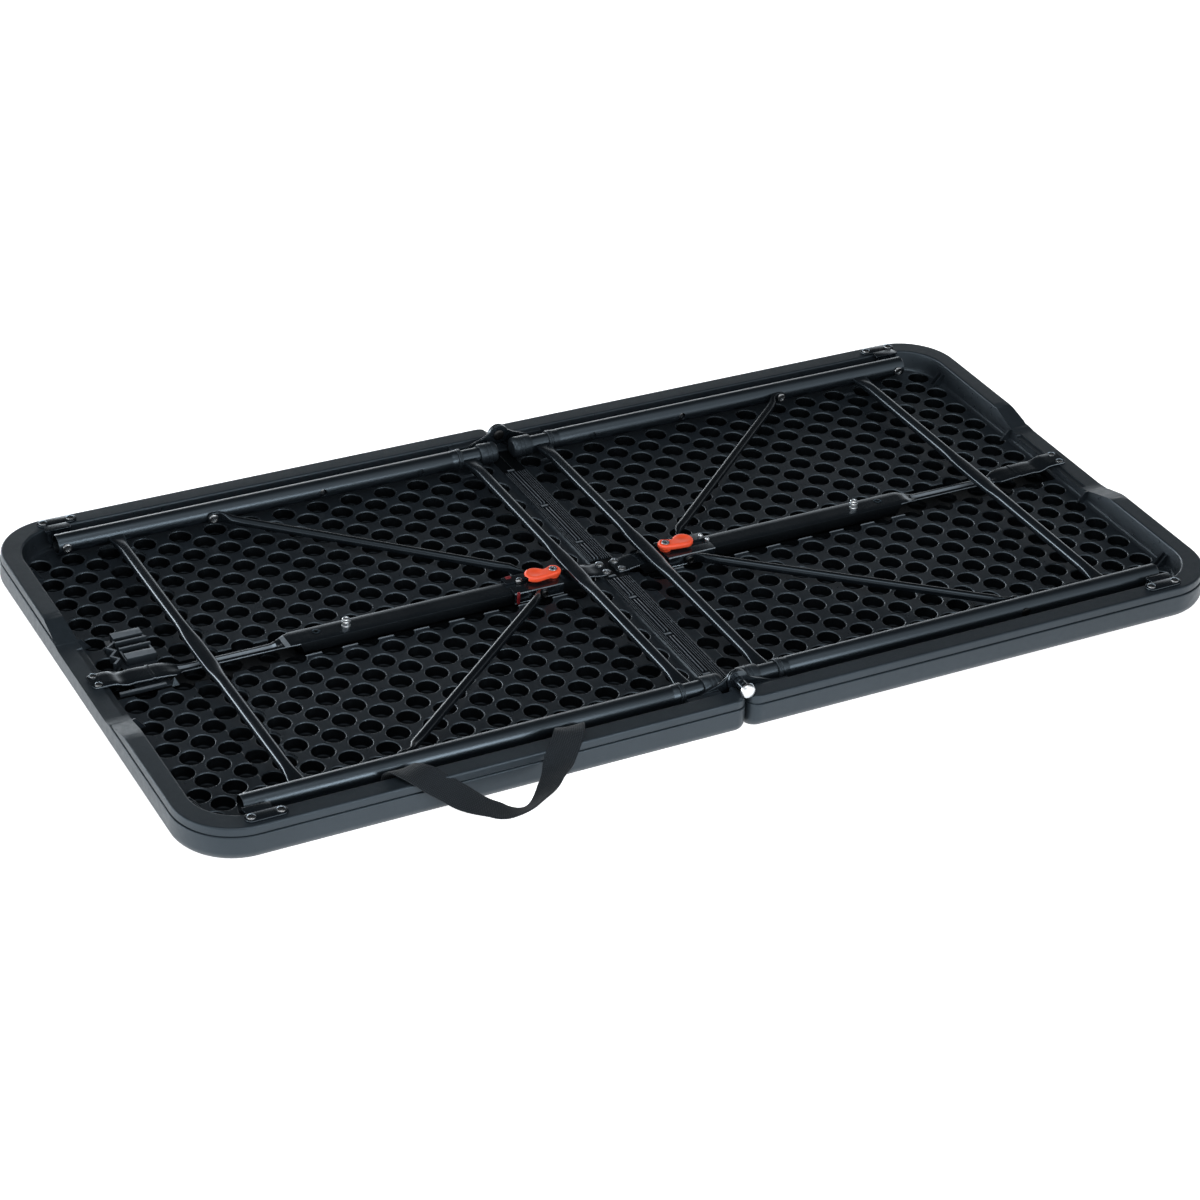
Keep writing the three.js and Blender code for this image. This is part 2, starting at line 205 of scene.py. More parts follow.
def carve(bm, *tools):
    """Boolean steps on a closed mesh: each tool is ("cut" or "add", bmesh)."""
    body = add_object("work", as_mesh(bm, "work"))
    helpers = []
    for kind, tool in tools:
        helper = add_object("work", as_mesh(tool, "work"))
        helpers.append(helper)
        step = body.modifiers.new("step", "BOOLEAN")
        step.operation = {"cut": "DIFFERENCE", "add": "UNION"}[kind]
        step.solver = "MANIFOLD"
        step.object = helper
    graph = bpy.context.evaluated_depsgraph_get()
    result = bmesh.new()
    result.from_mesh(bpy.data.meshes.new_from_object(body.evaluated_get(graph)))
    for spent in (body, *helpers):
        data = spent.data
        bpy.data.objects.remove(spent)
        bpy.data.meshes.remove(data)
    return result


# ---------------- materials


def add_node(tree, kind, *values, **settings):
    """A shader node: each input in turn takes a value, another node's output, or None."""
    made = tree.nodes.new("ShaderNode" + kind)
    for name, setting in settings.items():
        setattr(made, name, setting)
    for socket, value in zip(made.inputs, values):
        if isinstance(value, bpy.types.NodeSocket):
            tree.links.new(value, socket)
        elif value is not None:
            socket.default_value = value
    return made


class Nodes:
    """Shorthand for building one material's node tree."""

    def __init__(self, name):
        self.material = bpy.data.materials.new(name)
        self.material.use_nodes = True
        self.tree = self.material.node_tree
        self.shader = self.tree.nodes["Principled BSDF"]
        self.place = self.tree.nodes.new("ShaderNodeTexCoord").outputs["Object"]
        self.shader.inputs["Specular Tint"].default_value = (0.72, 0.87, 1.0, 1)

    def link(self, output, socket):
        self.tree.links.new(output, socket)

    def noise(self, scale, detail=3.0, roughness=0.55):
        return add_node(self.tree, "TexNoise", self.place, None, scale, detail, roughness).outputs["Fac"]

    def ramp(self, value, *stops):
        """Colours (or greys) along a value: stops are (position, colour)."""
        node = add_node(self.tree, "ValToRGB", value)
        elements = node.color_ramp.elements
        while len(elements) < len(stops):
            elements.new(0.5)
        for element, (position, colour) in zip(elements, stops):
            element.position = position
            grey = isinstance(colour, (int, float))
            element.color = (colour, colour, colour, 1) if grey else (*colour, 1)
        return node.outputs["Color"]

    def mix(self, factor, a, b):
        node = add_node(self.tree, "Mix", data_type="RGBA")
        for socket, value in ((node.inputs["Factor"], factor), (node.inputs["A"], a),
                              (node.inputs["B"], b)):
            if isinstance(value, bpy.types.NodeSocket):
                self.link(value, socket)
            else:
                socket.default_value = value if isinstance(value, float) else (*value, 1)
        return node.outputs["Result"]

    def bump(self, height, strength, distance, base=None):
        return add_node(self.tree, "Bump", strength, distance, None, height, base).outputs["Normal"]

    def math(self, operation, *values):
        return add_node(self.tree, "Math", *values, operation=operation).outputs[0]

    def finish(self, colour, roughness, normal=None, **fixed):
        self.link(colour, self.shader.inputs["Base Color"])
        self.link(roughness, self.shader.inputs["Roughness"])
        if normal is not None:
            self.link(normal, self.shader.inputs["Normal"])
        for name, value in fixed.items():  # such as specular_ior_level
            words = name.replace("_", " ").title().replace("Ior", "IOR")
            self.shader.inputs[words].default_value = value
        return self.material


def moulded_plastic(name, dark, light, low, high, grain, **fixed):
    """Moulded plastic between two colours and two roughnesses, grained and a little dusty."""
    n = Nodes(name)
    colour = n.ramp(n.noise(9.0, 4.0), (0.3, dark), (0.75, light))
    dust = n.ramp(n.noise(60.0, 6.0, 0.7), (0.62, 0.0), (0.8, 0.25))
    colour = n.mix(dust, colour, tuple(1.9 * c for c in light))
    rough = n.ramp(n.noise(140.0, 4.0), (0.3, low), (0.7, high))
    fine = n.bump(n.noise(2600.0, 2.0, 0.6), grain, 0.0002)
    normal = n.bump(n.noise(35.0, 2.0), 0.06, 0.002, fine)
    return n.finish(colour, rough, normal, **fixed)


def coated_steel(name, dark, light, low, high, **fixed):
    """Powder coat: smooth and glossy, a little cloudy, with a faint orange peel."""
    n = Nodes(name)
    colour = n.ramp(n.noise(14.0, 3.0), (0.3, dark), (0.75, light))
    rough = n.ramp(n.noise(30.0, 3.0), (0.3, low), (0.72, high))
    peel = n.bump(n.noise(420.0, 1.0), 0.006, 0.0001)
    return n.finish(colour, rough, peel, ior=1.65, **fixed)


def zinc_plate(name, shade, low, high):
    """Zinc with a faint passivation tint and fine tumbling marks; a low shade is blackened."""
    n = Nodes(name)
    colour = n.ramp(n.noise(260.0, 4.0), (0.3, (0.74 * shade, 0.76 * shade, 0.8 * shade)),
                    (0.55, (0.93 * shade, 0.94 * shade, 0.95 * shade)),
                    (0.8, (shade, 0.98 * shade, 0.92 * shade)))
    rough = n.ramp(n.noise(700.0, 4.0), (0.3, low), (0.75, high))
    marks = n.bump(n.noise(3200.0, 2.0), 0.08, 0.0001)
    return n.finish(colour, rough, marks, metallic=1.0)


def lever_plastic(name, light):
    """Red moulded plastic, a touch translucent, with a satin skin."""
    n = Nodes(name)
    colour = n.ramp(n.noise(120.0, 4.0), (0.3, tuple(0.83 * c for c in light)), (0.7, light))
    rough = n.ramp(n.noise(500.0, 3.0), (0.3, 0.34), (0.7, 0.48))
    skin_grain = n.bump(n.noise(2400.0, 2.0), 0.1, 0.0002)
    return n.finish(colour, rough, skin_grain, subsurface_weight=0.08, subsurface_scale=0.002)


def webbing():
    """Black webbing: ribs across the band and twisted yarns, laid out by the band's UVs."""
    n = Nodes("webbing_black")
    band = add_node(n.tree, "UVMap", uv_map="band").outputs["UV"]
    # The UVs are in metres: u across the band, v along it.
    u, v, _ = add_node(n.tree, "SeparateXYZ", band).outputs

    def waves(along, spacing, shift=0.0):
        """A wave between 0 and 1 every `spacing` metres, shifted by an angle."""
        angle = n.math("ADD", n.math("MULTIPLY", along, TURN / spacing), shift)
        return n.math("MULTIPLY_ADD", n.math("SINE", angle), 0.5, 0.5)

    weave = n.math("MULTIPLY", waves(u, 0.0021), waves(v, 0.0017, waves(u, 0.0042)))
    fuzz = n.noise(1500.0, 4.0, 0.7)
    # The colour follows the weave's height: painted shade in its hollows and painted light on its ribs,
    # mixed with random yarn fuzz.
    weave_shade_and_fuzz = n.mix(0.35, n.ramp(weave, (0.0, 0.0), (1.0, 1.0)), fuzz)
    colour = n.ramp(weave_shade_and_fuzz, (0.1, (0.002, 0.0024, 0.003)), (0.8, (0.0125, 0.0145, 0.0175)))
    rough = n.ramp(fuzz, (0.3, 0.72), (0.7, 0.88))
    normal = n.bump(weave, 0.55, 0.0007, n.bump(fuzz, 0.2, 0.0003))
    return n.finish(colour, rough, normal, sheen_weight=0.08, sheen_roughness=0.5,
                    specular_ior_level=0.25)


HDPE = moulded_plastic("hdpe_black", (0.0075, 0.0102, 0.013), (0.0115, 0.0153, 0.0192), 0.38, 0.50, 0.22)
TRAY = moulded_plastic("hdpe_black_tray", (0.0078, 0.0102, 0.0128), (0.0118, 0.015, 0.0185), 0.27, 0.34, 0.1)
# Near-black copy of the plastic: painted shade in the cups, between the seam ribs and inside the leg tubes.
PAINTED_SHADE = moulded_plastic("hdpe_black_painted_shade", (0.0009, 0.0012, 0.0015), (0.0016, 0.002, 0.0025), 0.4, 0.5,
                       0.1, specular_ior_level=0.12)
# A lighter copy of the tray plastic: painted highlight on the lips of the cups.
LIP_HIGHLIGHT = moulded_plastic("hdpe_black_lips_painted_highlight", (0.019, 0.0235, 0.028), (0.027, 0.0325, 0.038), 0.24, 0.3, 0.05)
# A pale copy of the black plastic: painted highlight on the upward faces of ribs, beads and the catch.
TOP_HIGHLIGHT = moulded_plastic("hdpe_black_painted_top_highlight", (0.085, 0.097, 0.11), (0.14, 0.155, 0.17), 0.2, 0.27, 0.05)
# A lighter copy of the black plastic: painted light on the seam ribs, channel beads and ledge studs.
PAINTED_LIGHT_HDPE = moulded_plastic("hdpe_black_painted_light", (0.011, 0.0145, 0.018), (0.017, 0.0215, 0.0265), 0.2, 0.27, 0.06)
NYLON = moulded_plastic("nylon_black", (0.0065, 0.0085, 0.0105), (0.011, 0.0135, 0.0165), 0.34, 0.46, 0.15)
STEEL = coated_steel("powder_coated_steel", (0.003, 0.0042, 0.0056), (0.0055, 0.0072, 0.009), 0.17, 0.22)
# A pale copy of the powder coat: painted highlight on rounded edges and creases.
EDGE = coated_steel("steel_painted_edge_highlight", (0.1, 0.115, 0.13), (0.2, 0.22, 0.24), 0.18, 0.24)
TUBE = coated_steel("steel_tube_coat", (0.003, 0.0042, 0.0056), (0.0055, 0.0072, 0.009), 0.29, 0.35)
# A darker, less glossy copy of the powder coat: painted shade on the brace struts.
BRACE = coated_steel("steel_brace_coat_painted_shade", (0.002, 0.0028, 0.0038), (0.004, 0.0052, 0.0066), 0.2, 0.26,
                     specular_ior_level=0.22)
# A near-black, dull copy of the powder coat: painted shade on the rail's side skirts.
SHADED = coated_steel("steel_skirt_painted_shade", (0.0008, 0.001, 0.0013), (0.0014, 0.0018, 0.0022), 0.4, 0.5,
                      specular_ior_level=0.1)
ZINC = zinc_plate("zinc_plated_steel", 0.68, 0.22, 0.34)
DARK_ZINC = zinc_plate("zinc_blackened", 0.27, 0.22, 0.32)
BLACK_ZINC = zinc_plate("zinc_black", 0.035, 0.3, 0.42)
LEVER = lever_plastic("lever_red", (0.88, 0.088, 0.026))
TAG = lever_plastic("lever_dark_red", (0.17, 0.01, 0.012))
WEBBING = webbing()


def piece(name, bm, body, material, *nodes, sx=1, sy=1, crease=32, weighted=False):
    """Turns a mesh drawn in millimetres into a named piece that rides on a body."""
    bmesh.ops.remove_doubles(bm, verts=bm.verts, dist=1e-4)
    bmesh.ops.transform(bm, matrix=Matrix.Diagonal((sx * MM, sy * MM, MM, 1)), verts=bm.verts)
    mesh = as_mesh(bm, name)
    mesh.polygons.foreach_set("use_smooth", [True] * len(mesh.polygons))
    mesh.set_sharp_from_angle(angle=math.radians(crease))
    mesh.materials.append(material)
    made = add_object(name, mesh)
    if weighted:
        made.modifiers.new("weighted", "WEIGHTED_NORMAL").keep_sharp = True
    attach(made, body)
    if nodes:
        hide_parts(*nodes)
    return made


def repaint(made, material, where):
    """Gives one more material to the faces whose centre (mm) and normal pass `where`."""
    made.data.materials.append(material)
    index = len(made.data.materials) - 1
    for face in made.data.polygons:
        if where(Vector(face.center) / MM, face.normal):
            face.material_index = index


# ---------------- tabletop halves


def plan(x0, x1, half, seam_radius, end_radius, z):
    """A ring in plan from the seam to the outer end, with rounded corners."""
    seam_steps, end_steps = 6, 18
    corners = (
        (x0 + seam_radius, -half + seam_radius, seam_radius, 2, seam_steps),
        (x1 - end_radius, -half + end_radius, end_radius, 3, end_steps),
        (x1 - end_radius, half - end_radius, end_radius, 0, end_steps),
        (x0 + seam_radius, half - seam_radius, seam_radius, 1, seam_steps),
    )
    ring = []
    for x, y, radius, quarter, steps in corners:
        for i in range(steps + 1):
            angle = (quarter + i / steps) * TURN / 4
            ring.append((x + radius * math.cos(angle), y + radius * math.sin(angle), z))
    return ring


def shell():
    """The outer form: rolled worktop edge, side wall, shadow groove and rim."""
    profile = ((0, 12), (0.3, 9.6), (1.2, 6.9), (2.9, 4.2), (5.4, 2.0), (8.4, 0.6), (11.5, 0),
               (27.8, 0.4), (28.5, 0.7), (28.9, 1.3), (29.1, 2.7), (29.8, 2.9), (30.1, 1.9),
               (30.7, 1.5), (36.9, 1.9), (37.9, 2.4), (38.5, 3.2), (38.8, 4.4))
    return skin([
        plan(0.6 + inset / 3, HALF_LENGTH - inset, HALF_WIDTH - inset, 14 - inset / 2, 66 - inset, z)
        for z, inset in profile
    ])


def tray_tool():
    """Hollows the tray, with a fillet at its floor and a soft lip at the rim."""
    profile = ((16, -4.6), (16.2, -3.2), (16.8, -1.9), (17.9, -0.8), (19.8, 0.1), (36.9, 4.4),
               (37.9, 4.8), (38.5, 5.6), (38.85, 6.9), (41, 7.0))
    return skin([plan(14 - s, END_WALL_X + s, 280 + s, max(5 + s, 0.4) if s < 0 else 5, 46 + s, z)
                 for z, s in profile])


BAR_TROUGHS = ((OUTER_BAR_X - 19, OUTER_BAR_X + 19), (INNER_BAR_X - 13, INNER_BAR_X + 12))


def trough(x):
    """Lowers the floor under a crossbar, with sloping sides."""
    top, half_y, slope = FLOOR_Z + 0.4, 247, 1.1
    rings = []
    for z, grow in ((TROUGH_Z, 0.0), (top, (top - TROUGH_Z) * slope)):
        rings.append([
            (x[0] - grow, -half_y - grow, z), (x[1] + grow, -half_y - grow, z),
            (x[1] + grow, half_y + grow, z), (x[0] - grow, half_y + grow, z),
        ])
    return skin(rings)


def dimple_centres():
    """The staggered grid of cups, which leaves the rounded outer corners free."""
    columns, rows_each_way = 27, 12
    corner_x, corner_y, corner_radius = 530, 236, 31
    for n in range(1, columns + 1):
        x = min((n + 0.5) * DIMPLE_DX, LAST_CUP_X)
        for j in range(-rows_each_way, rows_each_way + 1):
            y = j * DIMPLE_DY
            from_corner = math.hypot(max(x - corner_x, 0), max(abs(y) - corner_y, 0))
            if (n + j) % 2 == 1 and from_corner < corner_radius:
                yield x, y


def dimple_tool():
    """Every cup of the honeycomb underside: rounded lip, tapered wall, dished bottom."""
    profile = ((13.7, 16.6), (13.6, 16.02), (13.0, 15.85), (12.5, 15.4), (12.2, 14.8),
               (12.0, 14.0), (10.6, 5.2), (10.0, 4.1), (8.6, 3.4), (0, 3.1))
    cups = []
    for x, y in dimple_centres():
        lowered = any(low <= x <= high for low, high in BAR_TROUGHS)
        drop = FLOOR_Z - TROUGH_Z if lowered else 0.0
        cups.append(lathe([(r, z - drop + (1.5 * drop if z > 16.5 else 0)) for r, z in profile],
                          "z", (x, y, 0), steps=24))
    return stack(*cups)


def tabletop(side):
    """One moulded half: the shell with its tray, ledge, hand hold, channel, ribs, pads and cups."""
    lower, upper = 72, 118
    hand_hold = slab(rounded([
        (-upper - 30, 44, 0), (-upper - 30, 39.3, 0), (-upper, 39.0, 16), (-lower, 27, 9),
        (lower, 27, 9), (upper, 39.0, 16), (upper + 30, 39.3, 0), (upper + 30, 44, 0),
    ], 8, 6, closed=True), "x", 555, 605)
    # The front lip of the hand hold is stepped down a little, inside and out.
    step = slab(rounded([(-66, 30), (-66, 25.4), (66, 25.4), (66, 30)], 3, 4, closed=True),
                "x", 573.5, 581)
    rail_channel = slab([
        (-CHANNEL_HALF, 16.4), (-21.4, 14.4), (-20.6, 9.5), (-20, 9), (20, 9), (20.6, 9.5),
        (21.4, 14.4), (CHANNEL_HALF, 16.4),
    ], "x", 30, 572)
    ledge_y = LEDGE_HALF_WIDTH
    ledge = slab(rounded([(-ledge_y, 46, 0), (-ledge_y, LEDGE_Z), (ledge_y, LEDGE_Z), (ledge_y, 46, 0)],
                         3, 4, closed=True), "x", -2, 30)
    saddle = lathe([(8.6, -320), (8.6, 320)], "y", (0, 0, HINGE_Z), steps=40)
    pad_face = 276.3 if side == "left" else 279.3
    ribs = []
    for y in (-231, -224, -78, 78, 224, 231):
        ribs.append(skin([
            [(560, y - 1.3, 15.5), (577, y - 1.3, 15.5), (577, y + 1.3, 15.5), (560, y + 1.3, 15.5)],
            [(571.5, y - 1, 29), (577, y - 1, 29), (577, y + 1, 29), (571.5, y + 1, 29)],
        ]))
    pads = [box((19, 58), sorted((sy * pad_face, sy * 286)), (15, 36), 0.8) for sy in (-1, 1)]
    tools = [("cut", tray_tool()), ("cut", ledge), ("add", stack(*ribs)), ("add", stack(*pads)),
             ("cut", hand_hold), ("cut", step), ("cut", rail_channel)]
    tools += [("cut", trough(x)) for x in BAR_TROUGHS]
    tools += [("cut", saddle), ("cut", dimple_tool())]
    return carve(shell(), *tools)


def polish_tray(top):
    """The moulded floor inside the rim is glossier than the grained outside; its cups and the ledge between
    the seam ribs get painted shade, and the lips of the cups a painted highlight.
    """
    def in_tray(at, normal):
        return abs(at.y) < 286 and 14 < abs(at.x) < 579 and normal.z > -0.5 and 1 < at.z < 38

    def dark(at, normal):
        cup = at.z < 13 or (at.z < 14.9 and normal.z < 0.6)
        along_ribs = SEAM_RIB_ENDS[0] < at.y < SEAM_RIB_ENDS[1] and abs(at.x) < 14.5
        between_ribs = along_ribs and normal.z > 0.9 and abs(at.z - LEDGE_Z) < 1
        facing_out = abs(at.y) < LEDGE_HALF_WIDTH and normal.z > -0.5
        return facing_out and (between_ribs or cup and in_tray(at, normal))

    def on_lip(at, normal):
        return in_tray(at, normal) and abs(at.x) < 562 and 14.9 < at.z < 15.97 and normal.z < 0.99

    repaint(top, TRAY, in_tray)
    # Painted highlight round the lip of every cup.
    repaint(top, LIP_HIGHLIGHT, on_lip)
    # Painted shade in the cups and on the ledge between the seam ribs.
    repaint(top, PAINTED_SHADE, dark)


def long_rib(x, y, base, height, half):
    """A low rounded rib along Y with soft ends."""
    section = ((-half, 0), (-half * 0.9, 0.6), (-half * 0.45, 0.95), (0, 1.0),
               (half * 0.45, 0.95), (half * 0.9, 0.6), (half, 0))
    rings = []
    for yy, rise in ((y[0], 0.15), (y[0] + 0.8, 0.8), (y[0] + 1.8, 1), (y[1] - 1.8, 1),
                     (y[1] - 0.8, 0.8), (y[1], 0.15)):
        rings.append([(x + u, yy, base + v * height * rise) for u, v in section])
    return skin(rings)


SEAM_RIB_ENDS = (-246, 228)


def seam_ribs(side):
    """Raised ribs along the seam ledge; the left one also has a double bead, in lengths."""
    base = LEDGE_Z - 0.05
    front_end, back_end = SEAM_RIB_ENDS
    places, height, half = {"right": ((2.2, 4.7, 7.2, 9.7, 12.2), 1.5, 0.55),
                            "left": ((8.9, 11.0, 13.1), 1.3, 0.5)}[side]
    ribs = [long_rib(x, y, base, height, half)
            for y in ((front_end, -20.5), (20.5, back_end)) for x in places]
    if side == "left":
        spans = ((front_end, -229), (-221, -146), (-138, -68), (-60, -21), (21, 56), (64, 141),
                 (149, 226))
        for y in spans:
            ribs += [long_rib(x, y, base, 2.8, 1.15) for x in (2.4, 6.2)]
            ribs.append(box((0.8, 9.4), (y[1] + 2.2, y[1] + 5.4), (base, base + 2.4), 0.5))
    return stack(*ribs)


def channel_beads():
    """Short beads on the channel's edges, one between each two cups of the next row."""
    beads, half_length = [], 9.3
    swap_x_and_y = Matrix(((0, 1, 0), (1, 0, 0), (0, 0, 1)))
    for n in range(3, 18, 2):
        x = (n + 0.5) * DIMPLE_DX
        for y in (-CHANNEL_HALF - 0.2, CHANNEL_HALF + 0.2):
            bead = long_rib(y, (x - half_length, x + half_length), FLOOR_Z - 0.1, 1.3, 1.0)
            bmesh.ops.rotate(bead, verts=bead.verts, matrix=swap_x_and_y)
            beads.append(bead)
    return stack(*beads)


def ledge_studs():
    """Small round ejector studs on the seam ledge."""
    profile = ((0, -0.05), (2.0, -0.05), (1.95, 0.5), (1.5, 0.85), (0, 0.95))
    return stack(*[lathe(profile, "z", (12.6, y, LEDGE_Z), 16) for y in (-34, 64, 150, -120, -205)])


for side, sx in SIDES:
    body = f"tabletop_{side}"
    top = piece(f"tabletop_shell_{side}", tabletop(side), body, HDPE, f"top_{side}", sx=sx,
                crease=50, weighted=True)
    polish_tray(top)
    # Seam ribs and channel beads take the lighter plastic: painted light.
    ribs = piece(f"seam_ribs_{side}", seam_ribs(side), body, PAINTED_LIGHT_HDPE, sx=sx)
    # Painted highlight on the tops of the ribs.
    repaint(ribs, TOP_HIGHLIGHT, lambda at, normal: at.z > LEDGE_Z + 0.75 and normal.z > 0.7)
    beads = piece(f"channel_beads_{side}", channel_beads(), body, PAINTED_LIGHT_HDPE, sx=sx)
    # Painted highlight on the tops of the beads.
    repaint(beads, TOP_HIGHLIGHT, lambda at, normal: at.z > FLOOR_Z + 0.4)
# The ledge studs take the lighter plastic: painted light.
piece("ledge_studs_right", ledge_studs(), "tabletop_right", PAINTED_LIGHT_HDPE)


# ---------------- screws and rivets


def cross_screw(x, y, z, turn, radius=4.7, height=2.0):
    """A pan-head screw standing on z with a cross recess."""
    head = lathe([(0, -0.6), (radius * 0.96, -0.6), (radius, 0.25), (radius * 0.93, height * 0.6),
                  (radius * 0.7, height * 0.9), (radius * 0.35, height), (0, height)],
                 "z", (x, y, z), steps=28)
    recess = []
    for angle in (turn, turn + math.pi / 2):
        bar = box((-radius * 0.55, radius * 0.55), (-0.55, 0.55), (z + height * 0.35, z + height + 1))
        bmesh.ops.rotate(bar, verts=bar.verts, cent=(0, 0, 0), matrix=Matrix.Rotation(angle, 3, "Z"))
        bmesh.ops.translate(bar, verts=bar.verts, vec=(x, y, 0))
        recess.append(("cut", bar))
    return carve(head, *recess)


def hollow_rivet(axis, at, out, radius, bore, height, depth=1.6):
    """A rolled eyelet whose head stands `height` proud along `out` (1 or -1)."""
    profile = [(radius * 0.92, 0), (radius, 0.35 * height), (radius * 0.93, 0.75 * height),
               (radius * 0.72, height), (bore * 1.15, 0.85 * height), (bore, 0.5 * height),
               (bore * 0.96, height - depth), (0, height - depth - 0.1), (0, -0.4),
               (radius * 0.8, -0.4)]
    return lathe([(r, out * h) for r, h in profile], axis, at, steps=32)


# ---------------- leg frames


BRACKET_TOP = RIM_Z + 2.3
BRACKET_SCREW_Y, BRACKET_SCREWS_X = 293.0, (505.9, 536.5)


def arc(x, y, radius, start, sweep, count):
    """Points round an arc, from an angle and over a sweep."""
    angles = [start + sweep * k / count for k in range(count + 1)]
    return [(x + radius * math.cos(a), y + radius * math.sin(a)) for a in angles]


def bracket():
    """A rounded flange screwed to the rim, and an ear down to the leg's pivot."""
    z0, z1 = RIM_Z + 0.3, BRACKET_TOP
    inner_x, outer_x = BRACKET_SCREWS_X
    ends = (arc(outer_x, BRACKET_SCREW_Y, 7.0, -math.pi / 2, math.pi, 14)
            + arc(inner_x, BRACKET_SCREW_Y, 7.0, math.pi / 2, math.pi, 14))
    flange = slab(ends, "z", z0, z1, 0.5)
    web = slab(rounded([(510, 275.3), (540, 275.3), (538, 287, 0), (512, 287, 0)], 1.5, 3, closed=True),
               "z", z0, z1, 0.45)
    ear_outline = [(512, z1 - 0.4), (538, z1 - 0.4)]
    ear_outline += arc(PIVOT_X, LEG_Z, 13, -0.12, 0.24 - math.pi, 20)
    ear = slab(ear_outline, "y", 275.3, 277.8, 0.4)
    return stack(flange, web, ear)


def pivot_pin():
    """The pin a leg turns on: a shaft with a hollow inner head and a flat outer one."""
    shaft = lathe([(3.9, 248.2), (3.9, 279)], "y", (PIVOT_X, 0, LEG_Z), 28)
    inner = hollow_rivet("y", (PIVOT_X, 248.6, LEG_Z), -1, 5.4, 2.5, 1.7)
    outer = lathe([(0, 277.9), (5.4, 278.0), (5.4, 279.0), (4.6, 279.6), (0, 279.8)],
                  "y", (PIVOT_X, 0, LEG_Z), 28)
    return stack(shaft, inner, outer)


def inner_tube():
    """The tube that slides out, with softened mouths and a hole for the snap button."""
    x0, x1, radius, bore, lip = 13, 345, 9.2, 8, 0.5
    body = lathe([
        (bore, x0 + lip), (bore + lip * 0.4, x0), (radius - lip, x0), (radius, x0 + lip),
        (radius, x1 - lip), (radius - lip, x1), (bore + lip * 0.4, x1), (bore, x1 - lip),
    ], "x", (0, LEG_Y, LEG_Z), steps=56, ring=True)
    return carve(body, ("cut", button_hole(SNAP_X)))


def inside_bore(at, normal):
    """The unlit inside of a leg tube, faces turned towards its axis."""
    side_y = math.copysign(LEG_Y, at.y)
    return normal.y * (at.y - side_y) + normal.z * (at.z - LEG_Z) < -4


def button_hole(x):
    """A hole for the snap button in a tube's inner side."""
    return lathe([(4.5, 242), (4.5, 256)], "y", (x, 0, LEG_Z), 28)


def outer_tube():
    """The fixed leg tube: necked where the collar grips it, holed for the snap button."""
    body = lathe([
        (9.6, 60.5), (9.8, 60), (10.6, 60), (11.0, 60.6), (11.0, 66), (10.75, 67), (10.75, 68.4),
        (11.0, 69.4), (11.0, 533.4), (10.6, 534), (9.8, 534), (9.6, 533.5),
    ], "x", (0, LEG_Y, LEG_Z), steps=56, ring=True)
    return carve(body, ("cut", button_hole(SNAP_X)), ("cut", button_hole(SNAP_OUT_X)))


def collar():
    """The nylon ring in the mouth of the outer tube."""
    return lathe([
        (9.5, 54.9), (9.7, 54.7), (10.9, 54.7), (11.5, 55.3), (11.5, 56.3), (11.2, 56.7),
        (11.2, 57.4), (11.5, 57.8), (11.5, 59.2), (11.0, 59.7), (9.7, 59.7), (9.5, 59.5),
    ], "x", (0, LEG_Y, LEG_Z), steps=56, ring=True)


def foot_cap():
    """A nylon foot: domed end, two grip grooves and a rounded mouth."""
    return lathe([
        (0, 9.5), (5.5, 9.55), (8.6, 9.9), (10.6, 10.9), (11.7, 12.4), (12, 14.2), (12, 17.5),
        (11.6, 18.0), (11.6, 19.0), (12, 19.5), (12, 22.5), (11.6, 23.0), (11.6, 24.0), (12, 24.5),
        (12, 31.4), (11.5, 32.5), (9.9, 32.5), (9.5, 32.1), (9.5, 12.8), (0, 12.7),
    ], "x", (0, LEG_Y, LEG_Z), steps=48)


def snap_button():
    """The sprung button: a rounded nose over a wider skirt inside the tube."""
    face = LEG_Y - 8.5
    return lathe([(0, face), (2.4, face + 0.1), (3.7, face + 0.7), (4.2, face + 1.8),
                  (4.2, face + 5.4), (5.1, face + 5.6), (5.1, face + 7.1), (0, face + 7.2)],
                 "y", (SNAP_X, 0, LEG_Z), 28)


def crossbar(x, half_height):
    """A round bar pressed flat and wide at both tubes, and again over the rail."""
    radius, end, flat = 6.5, 249.2, 26
    # Each station: Y, half width, half height, and how square the section is.
    stations = [
        (end, 9.2, 2.9, 3.6), (end - 3, 9.0, 3.0, 3.6), (end - 8, 8.4, 3.5, 3.2),
        (end - 15, 7.4, 4.6, 2.7), (end - 23, 6.7, 5.8, 2.2), (end - 32, radius, radius, 2.0),
        (flat + 34, radius, radius, 2.0), (flat + 22, radius * 1.05, radius * 0.95, 2.1),
        (flat + 10, radius * 1.2, radius * 0.78, 2.4), (flat, radius * 1.27, half_height, 2.8),
        (flat * 0.5, radius * 1.3, half_height * 0.96, 3.0), (0, radius * 1.3, half_height * 0.95, 3.0),
    ]
    stations += [(-y, a, b, p) for y, a, b, p in reversed(stations[:-1])]
    side, up = Vector((1, 0, 0)), Vector((0, 0, 1))
    return skin([oval(Vector((x, y, LEG_Z)), side, up, a, b, p) for y, a, b, p in stations])


def smoothstep(t, low=0.0, high=1.0):
    t = min(max((t - low) / (high - low), 0), 1)
    return t * t * (3 - 2 * t)


